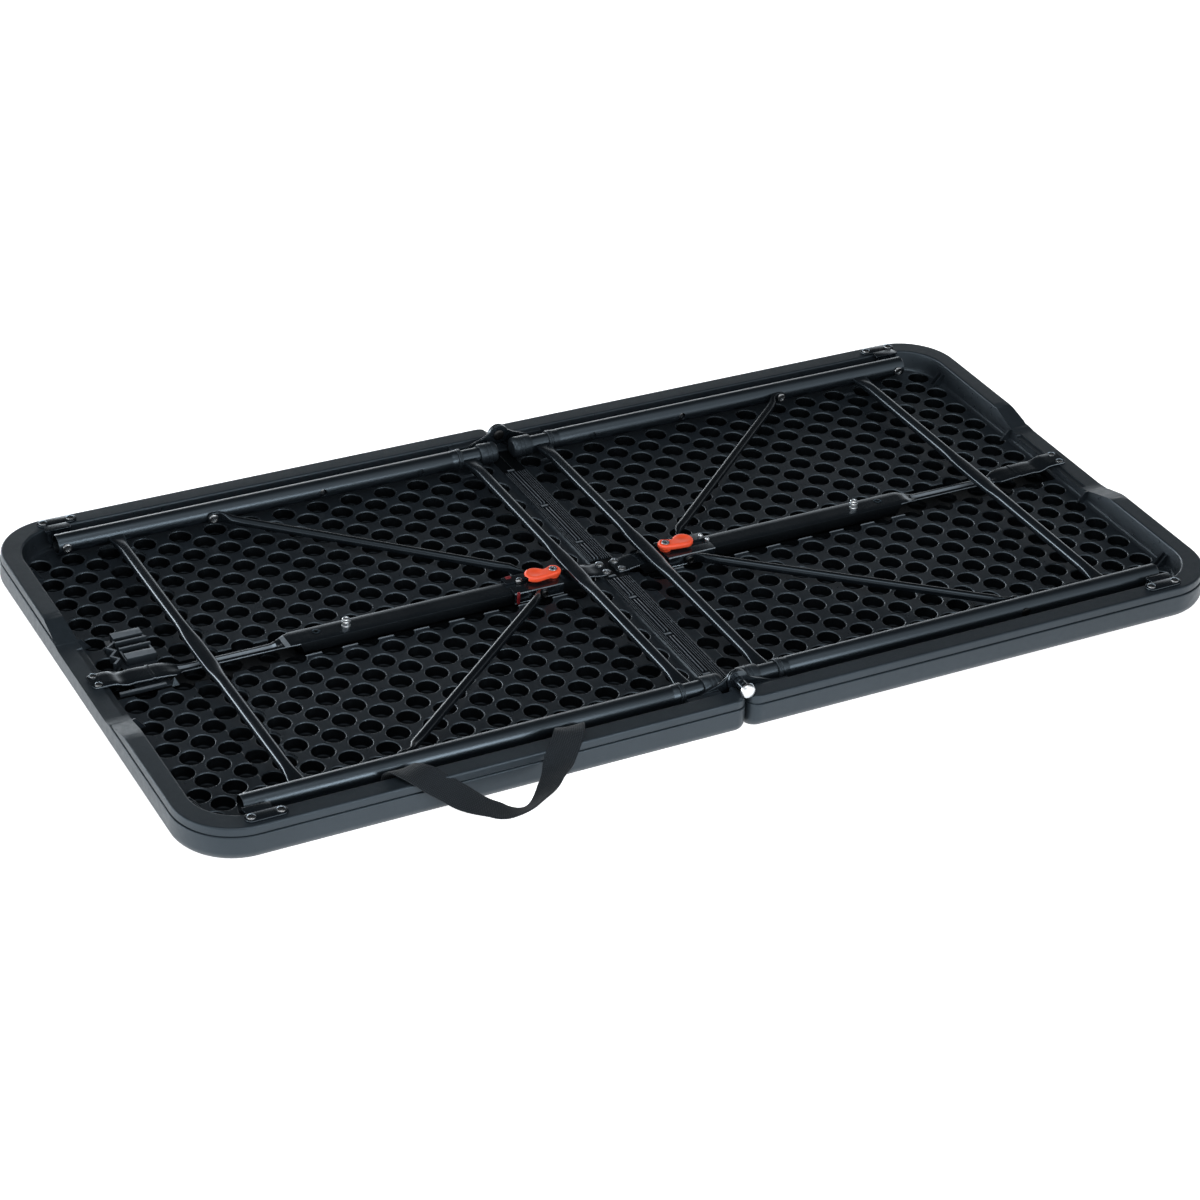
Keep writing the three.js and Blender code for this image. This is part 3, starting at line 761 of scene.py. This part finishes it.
def strut():
    """A round brace bar with both ends pressed into flat eyes."""
    leg_end, leg_eye, slider_eye, bar, plate = Vector((BRACE_X, 246.9, LEG_Z)), 6.5, 5.6, 5.0, 1.5
    start, finish = Vector((341, 234.6, 31.95)), Vector((103.4, 33.3, 26.85))

    def bend(a, corner, b, steps=8):
        fractions = [k / steps for k in range(steps + 1)]
        return [(1 - t) ** 2 * a + 2 * t * (1 - t) * corner + t * t * b for t in fractions]

    quarter = [math.pi * k / 12 for k in range(7)]
    along = (finish - start).normalized()
    points = [leg_end + Vector((6.45 * math.cos(a), 0, 0)) for a in quarter]
    points += bend(leg_end - Vector((5, 0, 0)), leg_end - Vector((11.5, 0, 0)), start)
    points += [start + along * 14, finish - along * 14]
    points += bend(finish, STRUT_EYE + Vector((6.8, 0, 1.4)), STRUT_EYE + Vector((2.8, 0, 0.4)))
    points += [STRUT_EYE - Vector((5.5 * math.sin(a), 0, 0)) for a in quarter]

    rings, last = [], len(points) - 1
    travelled = [0.0]
    for a, b in zip(points, points[1:]):
        travelled.append(travelled[-1] + (b - a).length)
    for i, point in enumerate(points):
        tangent = (points[min(i + 1, last)] - points[max(i - 1, 0)]).normalized()
        flat = Vector((tangent.x, tangent.y, 0)).normalized()
        across = Vector((-flat.y, flat.x, 0))
        lift = across.cross(tangent).normalized()
        lift = lift if lift.z > 0 else -lift
        from_leg, from_slider = travelled[i], travelled[-1] - travelled[i]
        near, eye = (from_leg, leg_eye) if from_leg < from_slider else (from_slider, slider_eye)
        pressed = 1 - smoothstep(near, 12, 34)
        half_height = bar + (eye * 0.97 - bar) * pressed
        if near < eye:
            half_height = max(math.sqrt(max(eye ** 2 - (eye - near) ** 2, 0)), 0.8)
        rings.append(oval(point, across, lift, bar + (plate - bar) * pressed, half_height,
                          2.0 + 2.4 * pressed, 24))
    return skin(rings)


def leg_rivet():
    """The rivet between strut and leg tube: a hollow inner head, a shank and a flat outer head."""
    radius = 5.4
    return stack(
        hollow_rivet("y", (BRACE_X, 245.1, LEG_Z), -1, radius, radius * 0.46, 1.7),
        lathe([(3, 244.9), (3, 272)], "y", (BRACE_X, 0, LEG_Z), 24),
        lathe([(0, 271.2), (radius, 271.3), (5.3, 272.2), (4.2, 272.8), (0, 272.9)],
              "y", (BRACE_X, 0, LEG_Z), 28),
    )


def strut_eyelet():
    """The eyelet that holds the strut to the slider."""
    radius = 4.6
    return hollow_rivet("y", STRUT_EYE + Vector((0, 1.5, 0)), 1, radius, radius * 0.46, 1.7)


for side, sx in SIDES:
    frame_body, extension = f"leg_frame_{side}", f"leg_extension_{side}"
    root = f"tabletop_{side}"
    piece(f"outer_bar_{side}", crossbar(OUTER_BAR_X, 5.2), frame_body, STEEL,
          f"outer_crossbar_{side}", sx=sx)
    piece(f"inner_bar_{side}", crossbar(INNER_BAR_X, 5.0), extension, STEEL,
          f"inner_crossbar_{side}", sx=sx)
    for row, sy in ROWS:
        at = f"{side}_{row}"
        mirror = {"sx": sx, "sy": sy}
        piece(f"bracket_{at}", bracket(), root, STEEL, f"leg_bracket_{at}", **mirror)
        screws = stack(*[cross_screw(x, BRACKET_SCREW_Y, BRACKET_TOP, turn)
                         for x, turn in zip(BRACKET_SCREWS_X, (0.4, 1.0))])
        piece(f"bracket_screws_{at}", screws, root, DARK_ZINC, **mirror)
        pin = piece(f"pivot_pin_{at}", pivot_pin(), root, DARK_ZINC, f"leg_pivot_pin_{at}", **mirror)
        repaint(pin, BLACK_ZINC, lambda at, normal: abs(at.y) > 277)
        leg = piece(f"outer_tube_{at}", outer_tube(), frame_body, TUBE, f"outer_leg_tube_{at}", **mirror)
        # Painted shade inside the tube's bore.
        repaint(leg, PAINTED_SHADE, inside_bore)
        piece(f"collar_{at}", collar(), frame_body, NYLON, f"tube_collar_{at}", **mirror)
        piece(f"inner_tube_{at}", inner_tube(), extension, TUBE, f"inner_leg_tube_{at}", **mirror)
        piece(f"cap_{at}", foot_cap(), extension, NYLON, f"foot_cap_{at}", **mirror)
        piece(f"button_{at}", snap_button(), f"button_{at}", DARK_ZINC, f"snap_button_{at}", **mirror)
        rivet = piece(f"leg_rivet_{at}", leg_rivet(), frame_body, DARK_ZINC, f"brace_rivet_{at}",
                      **mirror)
        repaint(rivet, BLACK_ZINC, lambda at, normal: abs(at.y) > 268)
        # The struts take the darker coat: painted shade.
        piece(f"strut_{at}", strut(), f"strut_{at}", BRACE, f"brace_strut_{at}", **mirror)
        piece(f"strut_eyelet_{at}", strut_eyelet(), f"strut_{at}", BLACK_ZINC, **mirror)


# ---------------- rails, sliders and levers


def rail():
    """Folded sheet rail: screw tab, channel, pinched waist under the bar, raised end tab."""
    thick, wall, edge_round, corner = 2.0, 12.3, 1.1, 5.0
    x0, x1 = 4, 591
    spine = rounded([
        (x0, 22.3), (16, 22.3, 5), (28, RAIL_TOP, 6), (374, RAIL_TOP, 5), (392, 21, 6), (492, 21, 6),
        (514, RAIL_TOP, 6), (557, RAIL_TOP, 5), (567, 29.3, 5), (x1, 29.3),
    ], 4, 5)
    extra = [4.4, 5.2, 6.6, 8.6, 31, 34, 37, 300, 362, 366, 370, 382, 388, 440, 496, 502, 508,
             524, 525, 526, 527, 528, 545, 582.5, 586, 588.6, 590.2]

    def top_at(x):
        for (xa, za), (xb, zb) in zip(spine, spine[1:]):
            if xa <= x <= xb:
                return za + (zb - za) * (x - xa) / max(xb - xa, 1e-6)
        return spine[-1][1]

    def between(x, rise, fall):
        """1 between two places along the rail, with a soft rise and fall."""
        return smoothstep(x, *rise) * (1 - smoothstep(x, *fall))

    rings = []
    for x in sorted({round(p[0], 2) for p in spine} | set(extra)):
        half = RAIL_HALF - WAIST_CUT * between(x, (368, 396), (490, 506))
        for edge in (x - x0, x1 - x):
            if edge < corner:
                half -= corner - math.sqrt(corner ** 2 - (corner - max(edge, 0.05)) ** 2)
        skirt = thick + 0.02 + (wall - thick) * between(x, (31, 37), (362, 366))
        bead = 0.8 if 525 <= x <= 527 or x == 545 else 0.0
        z = top_at(x) + bead
        dip = 2.6 * between(x, (374, 396), (488, 508))
        low, r = z - thick, edge_round
        outer = [(half - r, z), (half - 0.3 * r, z - 0.3 * r), (half, z - r), (half, z - skirt)]
        inner = [(half - thick, z - skirt), (half - thick, low), (half * 0.4, low), (0, low - dip),
                 (-half * 0.4, low), (-half + thick, low), (-half + thick, z - skirt)]
        top = [(-y, zz) for y, zz in reversed(outer)] + [(-half * 0.4, z), (0, z - dip), (half * 0.4, z)]
        rings.append([(x, y, zz) for y, zz in top + outer + inner])
    return skin(rings)


def rail_pin():
    """The grooved post that the lever hooks on."""
    return lathe([
        (0, 25.1), (4.5, 25.1), (4.5, 26.4), (4.1, 26.8), (4.1, 27.4), (4.5, 27.8), (4.5, 31.2),
        (3.9, 31.7), (3.9, 32.4), (4.4, 32.9), (4.3, 34.0), (3.5, 34.8), (1.8, 35.0), (1.2, 34.5),
        (0, 34.4),
    ], "z", (PIN_X, 0, 0), 32)


def slider():
    """The sheet saddle on the rail: slotted top, side walls with a rolled lower edge."""
    half_wall = [(18, 27.8, 1.6), (18, 16.2), (18.5, 15.4), (18.3, 14.5), (15.7, 14.5), (15.6, 15.2),
                 (15.6, 25.4)]
    section = half_wall + [(-y, *rest) for y, *rest in reversed(half_wall)]
    saddle = slab(rounded(section, 0.3, 4, closed=True), "x", 64, 122, 0.35)
    slot = slab([(130, -5.2), (130, 5.2)] + arc(80.1, 0, 5.2, math.pi / 2, math.pi, 16), "z", 20, 30)
    tools = [("cut", slot)]
    for sy in (-1, 1):
        chamfer = box((115, 130), sorted((sy * 12.5, sy * 25)), (10, 40))
        bmesh.ops.rotate(chamfer, verts=chamfer.verts, cent=(122, sy * 13, 0),
                         matrix=Matrix.Rotation(sy * math.radians(-40), 3, "Z"))
        bmesh.ops.translate(chamfer, verts=chamfer.verts, vec=(3.5, sy * 3.5, 0))
        tools.append(("cut", chamfer))
    return carve(saddle, *tools)


def slider_studs(side):
    """Small guide studs at the outer end of the slider: two on the right, a broader left one."""
    places = {"right": ((118.4, 9.8, 1.0), (121.6, 0.4, 1.0)), "left": ((106.5, 5.0, 1.45),)}[side]
    profile = ((0, 25.6), (2.6, 25.6), (2.7, 28.4), (2.4, 29.6), (1.6, 30.5), (0.8, 30.8), (0, 30.9))
    return stack(*[lathe([(r * size, z) for r, z in profile], "z", (x, y, 0), 28)
                   for x, y, size in places])


def rail_screws(side):
    """Two screws in the tab at the seam and two in the tab at the outer end."""
    seam_x = {"right": 11.2, "left": 7.4}[side]
    return stack(*[cross_screw(x, y, z, turn, radius, 1.9) for x, y, z, turn, radius in (
        (seam_x, -8.6, 22.3, 0.4, 4.6), (seam_x, 8.6, 22.3, 1.1, 4.6),
        (584, -8.4, 29.3, 0.2, 4.2), (584, 8.4, 29.3, 0.9, 4.2))])


def lever():
    """The red locking lever: a round eye, a thumb paddle and a waist on its back side."""
    eye, paddle, neck, heel = 8.6, 11.2, math.radians(126), math.radians(268)
    tangent = math.acos((eye - paddle) / (PADDLE_X - EYE_X))
    outline = arc(EYE_X, 0, eye, -tangent, tangent - heel, 20)
    outline += [(76.6, 4.9), (78.6, 4.8), (80.4, 6.0), (82.2, 8.0)]
    outline += arc(PADDLE_X, 0, paddle, neck, -neck - tangent, 30)
    body = slab(outline, "z", 30.6, 37.0, 2.4, 5)
    boss = lathe([(0, 28.1), (6.4, 28.1), (6.7, 28.6), (6.7, 33), (0, 33)], "z", (EYE_X, 0, 0), 32)
    thumb_well = lathe([(0, 36.2), (4.5, 36.35), (7.2, 37.2), (7.2, 39), (0, 39)],
                       "z", (PADDLE_X, 0, 0), 40)
    boss_well = lathe([(5.8, 36.4), (6.2, 38)], "z", (EYE_X, 0, 0), 36)
    bore = lathe([(3.3, 27), (3.3, 40)], "z", (EYE_X, 0, 0), 24)
    pin_groove = box((75.2, 110), (-5.1, 5.1), (20, 35.3))
    return carve(body, ("add", boss), ("cut", pin_groove), ("cut", thumb_well), ("cut", boss_well),
                 ("cut", bore))


def lever_eyelet():
    """The hollow rivet that the lever turns on, held in the slider's top."""
    return stack(
        lathe([(3, 25.5), (3, 36.4)], "z", (EYE_X, 0, 0), 24),
        hollow_rivet("z", (EYE_X, 0, 36.4), 1, 4.6, 2.2, 1.5, 2.0),
    )


for side, sx in SIDES:
    root = f"tabletop_{side}"
    beam = piece(f"rail_{side}", rail(), root, STEEL, f"support_rail_{side}", sx=sx, crease=28)
    # Painted highlight along the rail's rounded top edges and on the ramp crease.
    repaint(beam, EDGE, lambda at, normal: normal.z > 0.35 and abs(normal.y) > 0.45
            or normal.z > 0.5 and 376 < abs(at.x) < 382)
    # Painted shade on the side faces of the rail's skirt.
    repaint(beam, SHADED, lambda at, normal: abs(normal.y) > 0.9 and 31 < abs(at.x) < 366)
    piece(f"rail_post_{side}", rail_pin(), root, ZINC, f"rail_pin_{side}", sx=sx)
    screws = piece(f"rail_screws_{side}", rail_screws(side), root, DARK_ZINC, sx=sx)
    # Painted highlight: the two screws at the seam get the bright zinc, the outer ones keep the blackened
    # zinc.
    repaint(screws, ZINC, lambda at, normal: abs(at.x) < 30)
    low_rivet = hollow_rivet("z", (343, 2, RAIL_TOP), 1, 4.6, 2.3, 0.34, 0.3)
    piece(f"rail_rivet_{side}", low_rivet, root, BLACK_ZINC, sx=sx)
    saddle = piece(f"saddle_{side}", slider(), f"slider_{side}", STEEL, f"brace_slider_{side}", sx=sx)
    # Painted highlight along the saddle's rounded top edges.
    repaint(saddle, EDGE, lambda at, normal: normal.z > 0.35 and abs(normal.y) > 0.35)
    piece(f"saddle_studs_{side}", slider_studs(side), f"slider_{side}",
          ZINC if side == "right" else DARK_ZINC, sx=sx)
    piece(f"lever_{side}", lever(), f"lever_{side}", LEVER, f"latch_lever_{side}", sx=sx, crease=40)
    piece(f"lever_eyelet_{side}", lever_eyelet(), f"slider_{side}", DARK_ZINC,
          f"lever_rivet_{side}", sx=sx)


# ---------------- centre hinges


def hinge_leaf(y0):
    """One pressed leaf: foot, shoulder and the bell round the eye."""
    outline = [(19, 18, 2), (56, 18, 3), (56, 33, 3), (42, 34.5, 4), (30, 39.5, 5), (20, 43, 5)]
    outline += [(x, z, 0) for x, z in arc(0, HINGE_Z, 12, math.radians(20), math.radians(214), 22)]
    outline += [(6, 30.5, 3), (15, 25.5, 3)]
    return slab(rounded(outline, 2, 4, closed=True), "y", y0, y0 + 2.5, 0.45)


def leaf_rivets(face):
    """Two domed rivets that hold a leaf to the tabletop."""
    return stack(*[lathe([(0, face + 0.4), (3.6, face + 0.4), (3.5, face - 0.5), (2.4, face - 1.1),
                          (0, face - 1.3)], "y", (x, 0, 25.5), 24) for x in (28, 48)])


for side, sx in SIDES:
    for row, sy in ROWS:
        at = f"{side}_{row}"
        y0 = 276.5 if side == "right" else 273.5
        piece(f"hinge_{at}", hinge_leaf(y0), f"tabletop_{side}", STEEL, f"hinge_leaf_{at}", sx=sx, sy=sy)
        piece(f"hinge_rivets_{at}", leaf_rivets(y0), f"tabletop_{side}", DARK_ZINC, sx=sx, sy=sy)


def hinge_turned(profile, steps, ring=False):
    """A turned piece on the hinge axis."""
    return lathe(profile, "y", (0, 0, HINGE_Z), steps, ring)


def inner_head():
    """The low domed head on the inner face of a hinge."""
    return hinge_turned([(0, 271.3), (3.6, 271.35), (5.6, 271.7), (6.5, 272.4), (6.4, 273.1),
                         (0, 273.2)], 32)


back_stub = hinge_turned([(3.5, 273), (3.5, 279.4), (4.8, 279.6), (4.8, 282.6), (4.0, 283.4),
                          (0, 283.6)], 28)
piece("hinge_pin_back", stack(inner_head(), back_stub), "tabletop_right", BLACK_ZINC, "hinge_bolt_back")
barrel = hinge_turned([
    (3.6, 279.5), (5.0, 279.4), (5.3, 279.8), (5.3, 284.6), (5.0, 285), (5.0, 285.6), (5.3, 286),
    (5.3, 290.8), (5.0, 291.2), (5.0, 291.8), (5.3, 292.2), (5.3, 296.8), (5.0, 297.1), (3.6, 297.1),
], 36, ring=True)
piece("hinge_barrel_front", barrel, "tabletop_right", STEEL, sy=-1)
front_shank = hinge_turned([(3.5, 273), (3.5, 297.4)], 28)
front_head = hinge_turned([(0, 297.15), (7.6, 297.2), (8.3, 297.8), (8.3, 299.3), (7.7, 301.2),
                           (6.1, 302.6), (3.4, 303.3), (0, 303.5)], 40)
piece("hinge_pin_front", stack(inner_head(), front_shank, front_head), "tabletop_right", ZINC,
      "hinge_bolt_front", sy=-1)


# ---------------- end catch


def end_catch():
    """Moulded fitting by the left rail end: two slotted blocks, a zigzag web, a front lip."""
    parts = [box((509, 546), (-20, 82), (15.9, 17.4), 0.4)]
    for low, high, wall in ((70, 81, 62.5), (29, 40, 50.5)):
        parts.append(box((508, 540), (low, high), (16.2, 26.5), 0.9))
        parts.append(box((507, 541), (wall - 1.2, wall + 1.2), (16.2, 26.5), 0.5))
        for x in (508.2, 539.8):
            parts.append(box((x - 1, x + 1), sorted((wall, low + 1)), (16.2, 23.5), 0.4))
    zigzag = [(541, 64), (549.5, 58), (543, 50), (551, 42), (545, 34), (553, 26),
              (555.2, 28), (548, 34.4), (554, 42), (546.2, 50), (552.6, 58), (541, 66.4)]
    parts.append(slab(zigzag, "z", 16.6, 25.5, 0.3))
    parts.append(box((516, 566), (-20.5, -16.5), (15.9, 20.4), 0.7))
    parts.append(skin([[(503, -22, 16), (511, -22, 16), (511, -14, 16), (503, -14, 16)],
                       [(506.5, -18.5, 23.5), (507.5, -18.5, 23.5), (507.5, -17.5, 23.5),
                        (506.5, -17.5, 23.5)]]))
    return stack(*parts)


def slider_tag():
    """The thin dark-red moulding seen hanging at the outer end of the left slider."""
    return stack(box((117.5, 120.5), (-20.4, -18.9), (15.5, 30.5), 0.6),
                 box((112, 118), (12.5, 16.5), (27.6, 29.2), 0.6))


piece("slider_tag_left", slider_tag(), "slider_left", TAG, sx=-1)
catch = piece("catch_left", end_catch(), "tabletop_left", NYLON, "end_catch_left", sx=-1)
# Painted highlight on the catch's upper faces.
repaint(catch, TOP_HIGHLIGHT, lambda at, normal: normal.z > 0.6 and at.z > 20)


# ---------------- carrying strap

STRAP_ROUTE = [Vector(p) for p in (
    (-380, -276.2, 26), (-379, -276.2, 36), (-376, -281, 42.6), (-370, -290, 44.6),
    (-360, -301, 42), (-347, -311, 34), (-330, -323, 23.5), (-311, -335, 15), (-291, -346, 10.5),
    (-271, -349, 11.5), (-252, -342, 17.5), (-234, -328, 26), (-218, -312, 35.5), (-206, -300, 42),
    (-198, -290, 44.5), (-193, -281, 42.4), (-191, -276.2, 36), (-191, -276.2, 26),
)]
# Towards the band's outer edge, at fractions of its length: it turns over past the lowest point.
STRAP_TURN = ((0, (-1, 0, 0)), (0.12, (-1, -0.1, 0)), (0.28, (-0.62, -0.7, -0.35)),
              (0.42, (-0.5, -0.85, 0.05)), (0.55, (-0.25, -0.85, 0.5)), (0.68, (0.35, -0.85, 0.4)),
              (0.8, (0.9, -0.4, -0.15)), (0.9, (1, -0.05, 0)), (1, (1, 0, 0)))


def centripetal(points, per_span):
    """A smooth centripetal spline through the route's points, as closely spaced points."""
    padded = [2 * points[0] - points[1], *points, 2 * points[-1] - points[-2]]
    out = []
    for a, b, c, d in zip(padded, padded[1:], padded[2:], padded[3:]):
        t0, t1, t2 = (math.sqrt((q - p).length) for p, q in ((a, b), (b, c), (c, d)))
        start = ((b - a) / t0 - (c - a) / (t0 + t1) + (c - b) / t1) * t1
        stop = ((c - b) / t1 - (d - b) / (t1 + t2) + (d - c) / t2) * t1
        for k in range(per_span):
            t = k / per_span
            out.append(b + start * t + (3 * (c - b) - 2 * start - stop) * t ** 2
                       + (2 * (b - c) + start + stop) * t ** 3)
    return out + [points[-1]]


def turned_across(t):
    """The band's outward edge direction at a fraction of its length."""
    for (t0, a), (t1, b) in zip(STRAP_TURN, STRAP_TURN[1:]):
        if t <= t1:
            return Vector(a).lerp(Vector(b), smoothstep(t, t0, t1))
    return Vector(STRAP_TURN[-1][1])


def strap():
    """The webbing band with rolled selvedges, and its UVs in metres."""
    points = centripetal(STRAP_ROUTE, 14)
    lengths = [0.0]
    for a, b in zip(points, points[1:]):
        lengths.append(lengths[-1] + (b - a).length)
    half, thick, columns = STRAP_WIDTH / 2, STRAP_THICK / 2, 13
    widths = [-1 + 2 * k / (columns - 1) for k in range(columns)]
    around = [(u, 1) for u in widths] + [(u, -1) for u in reversed(widths)]
    bm = bmesh.new()
    band = bm.loops.layers.uv.new("band")
    rows = []
    for i, point in enumerate(points):
        tangent = (points[min(i + 1, len(points) - 1)] - points[max(i - 1, 0)]).normalized()
        across = turned_across(lengths[i] / lengths[-1])
        across = (across - tangent * across.dot(tangent)).normalized()
        normal = across.cross(tangent)
        row = []
        for u, face in around:
            selvedge = 1 - 0.45 * max(0, (abs(u) - 0.86) / 0.14) ** 2
            curl = 0.6 * (0.5 * u * u - 0.25)
            corner = point + across * (u * half) + normal * (0.8 * face * thick * selvedge + curl)
            row.append((bm.verts.new(corner), u * half * MM, lengths[i] * MM))
        rows.append(row)
    for a, b in zip(rows, rows[1:]):
        for k in range(len(a)):
            n = (k + 1) % len(a)
            quad = (a[k], a[n], b[n], b[k])
            face = bm.faces.new([v for v, _, _ in quad])
            for loop, (_, u, v) in zip(face.loops, quad):
                loop[band].uv = (u, v)
    bm.faces.new([v for v, _, _ in rows[0]])
    bm.faces.new([v for v, _, _ in rows[-1]])
    return bm, [p * MM for p in points], lengths[-1] * MM


strap_mesh, strap_path, strap_length = strap()
strap_piece = piece("strap_loop", strap_mesh, "tabletop_left", WEBBING, "carry_strap", crease=60)


# ---------------- stage, camera and light


def pale_floor():
    """A near-white ground that glows a little, so that it shows no shadow, as in the photo."""
    n = Nodes("pale_floor")
    colour = n.ramp(n.noise(1.5, 3.0), (0.3, (0.93, 0.93, 0.93)), (0.7, (0.95, 0.95, 0.95)))
    rough = n.ramp(n.noise(6.0, 2.0), (0.3, 0.85), (0.7, 0.95))
    n.link(colour, n.shader.inputs["Emission Color"])
    return n.finish(colour, rough, emission_strength=0.95)


FLOOR_REACH, FLOOR_DROP = 60.0, -0.0006
floor_mesh = bpy.data.meshes.new("floor")
floor_mesh.from_pydata([(x * FLOOR_REACH, y * FLOOR_REACH, FLOOR_DROP)
                        for x, y in ((-1, -1), (1, -1), (1, 1), (-1, 1))], [], [(0, 1, 2, 3)])
floor_mesh.materials.append(pale_floor())
add_object("floor", floor_mesh)

CAMERA_AT = Vector((-1.4546, -2.5690, 1.8274))
CAMERA_TURN, CAMERA_DROP, CAMERA_ROLL = -0.5126, 0.5593, 0.0569
look = Vector((-math.sin(CAMERA_TURN) * math.cos(CAMERA_DROP),
               math.cos(CAMERA_TURN) * math.cos(CAMERA_DROP), -math.sin(CAMERA_DROP)))
level = Vector((math.cos(CAMERA_TURN), math.sin(CAMERA_TURN), 0))
above = level.cross(look)
right = math.cos(CAMERA_ROLL) * level + math.sin(CAMERA_ROLL) * above
upward = -math.sin(CAMERA_ROLL) * level + math.cos(CAMERA_ROLL) * above
camera_data = bpy.data.cameras.new("camera")
camera_data.lens, camera_data.sensor_width = 95.94, 36.0
camera_data.clip_start, camera_data.clip_end = 0.1, 100.0
camera = add_object("camera", camera_data)
turn = Matrix((right, upward, -look)).transposed().to_4x4()
camera.matrix_world = Matrix.Translation(CAMERA_AT) @ turn
scene.camera = camera

TOWARDS_CAMERA = (-0.49, -0.87, 0.0)
TOWARDS_STRIP = (-0.75, 0.66, 0.0)
TOWARDS_RIGHT = (0.53, 0.85, 0.0)


def studio_world():
    """A broad dome light on the camera's side, a low bright strip behind, dark between them.

    The camera itself sees plain white.
    """
    world = bpy.data.worlds.new("studio")
    world.use_nodes = True
    tree = world.node_tree

    def step(value, low, high, to_low, to_high):
        return add_node(tree, "MapRange", value, low, high, to_low, to_high,
                        interpolation_type="SMOOTHSTEP").outputs["Result"]

    def combine(operation, a, b):
        return add_node(tree, "Math", a, b, operation=operation).outputs[0]

    def facing(vector):
        return add_node(tree, "VectorMath", direction, vector, operation="DOT_PRODUCT").outputs["Value"]

    direction = add_node(tree, "TexCoord").outputs["Generated"]
    height = add_node(tree, "SeparateXYZ", direction).outputs["Z"]
    dome = combine("MULTIPLY", step(facing(TOWARDS_CAMERA), -0.25, 0.15, 0.0, 1.0),
                   step(height, 0.0, 0.7, 1.75, 0.85))
    low_band = combine("MULTIPLY", step(height, 0.05, 0.26, 1.0, 0.0), step(height, -0.05, 0.0, 0.0, 1.0))
    strip = combine("MULTIPLY", low_band, step(facing(TOWARDS_STRIP), 0.1, 0.85, 0.0, 11.0))
    behind = combine("MULTIPLY", low_band, step(facing(TOWARDS_CAMERA), -0.1, -0.6, 0.0, 1.1))
    back_right = combine("MULTIPLY", step(height, 0.15, 0.48, 1.0, 0.0),
                         step(facing(TOWARDS_RIGHT), 0.6, 0.95, 0.0, 0.9))
    light = 0.04
    for part in (dome, strip, behind, back_right):
        light = combine("ADD", part, light)
    cove = add_node(tree, "Background", (0.93, 0.97, 1.0, 1), light).outputs[0]
    white = add_node(tree, "Background", (1, 1, 1, 1)).outputs[0]
    seen = add_node(tree, "LightPath").outputs["Is Camera Ray"]
    either = add_node(tree, "MixShader", seen, cove, white).outputs[0]
    tree.links.new(either, tree.nodes["World Output"].inputs["Surface"])
    scene.world = world


def softbox(name, at, target, size, power, colour):
    """A rectangular light aimed at a point, which the camera doesn't see."""
    data = bpy.data.lights.new(name, "AREA")
    data.shape, data.size, data.size_y = "RECTANGLE", size[0], size[1]
    data.energy, data.color = power, colour
    made = add_object(name, data)
    made.visible_camera = False
    made.location = at
    made.rotation_mode = "QUATERNION"
    made.rotation_quaternion = (Vector(target) - Vector(at)).to_track_quat("-Z", "Y")
    return made


studio_world()
scene.view_settings.view_transform = "Standard"
softbox("key_softbox", (-0.6, -0.9, 2.6), (0, 0, 0), (1.6, 1.2), 21, (0.95, 0.98, 1.0))
low_front = softbox("low_softbox", (0.15, -1.3, 0.45), (-0.36, -0.27, 0.04), (0.55, 0.4), 0.75,
                    (0.9, 0.96, 1.0))
low_front.data.spread = math.radians(60)
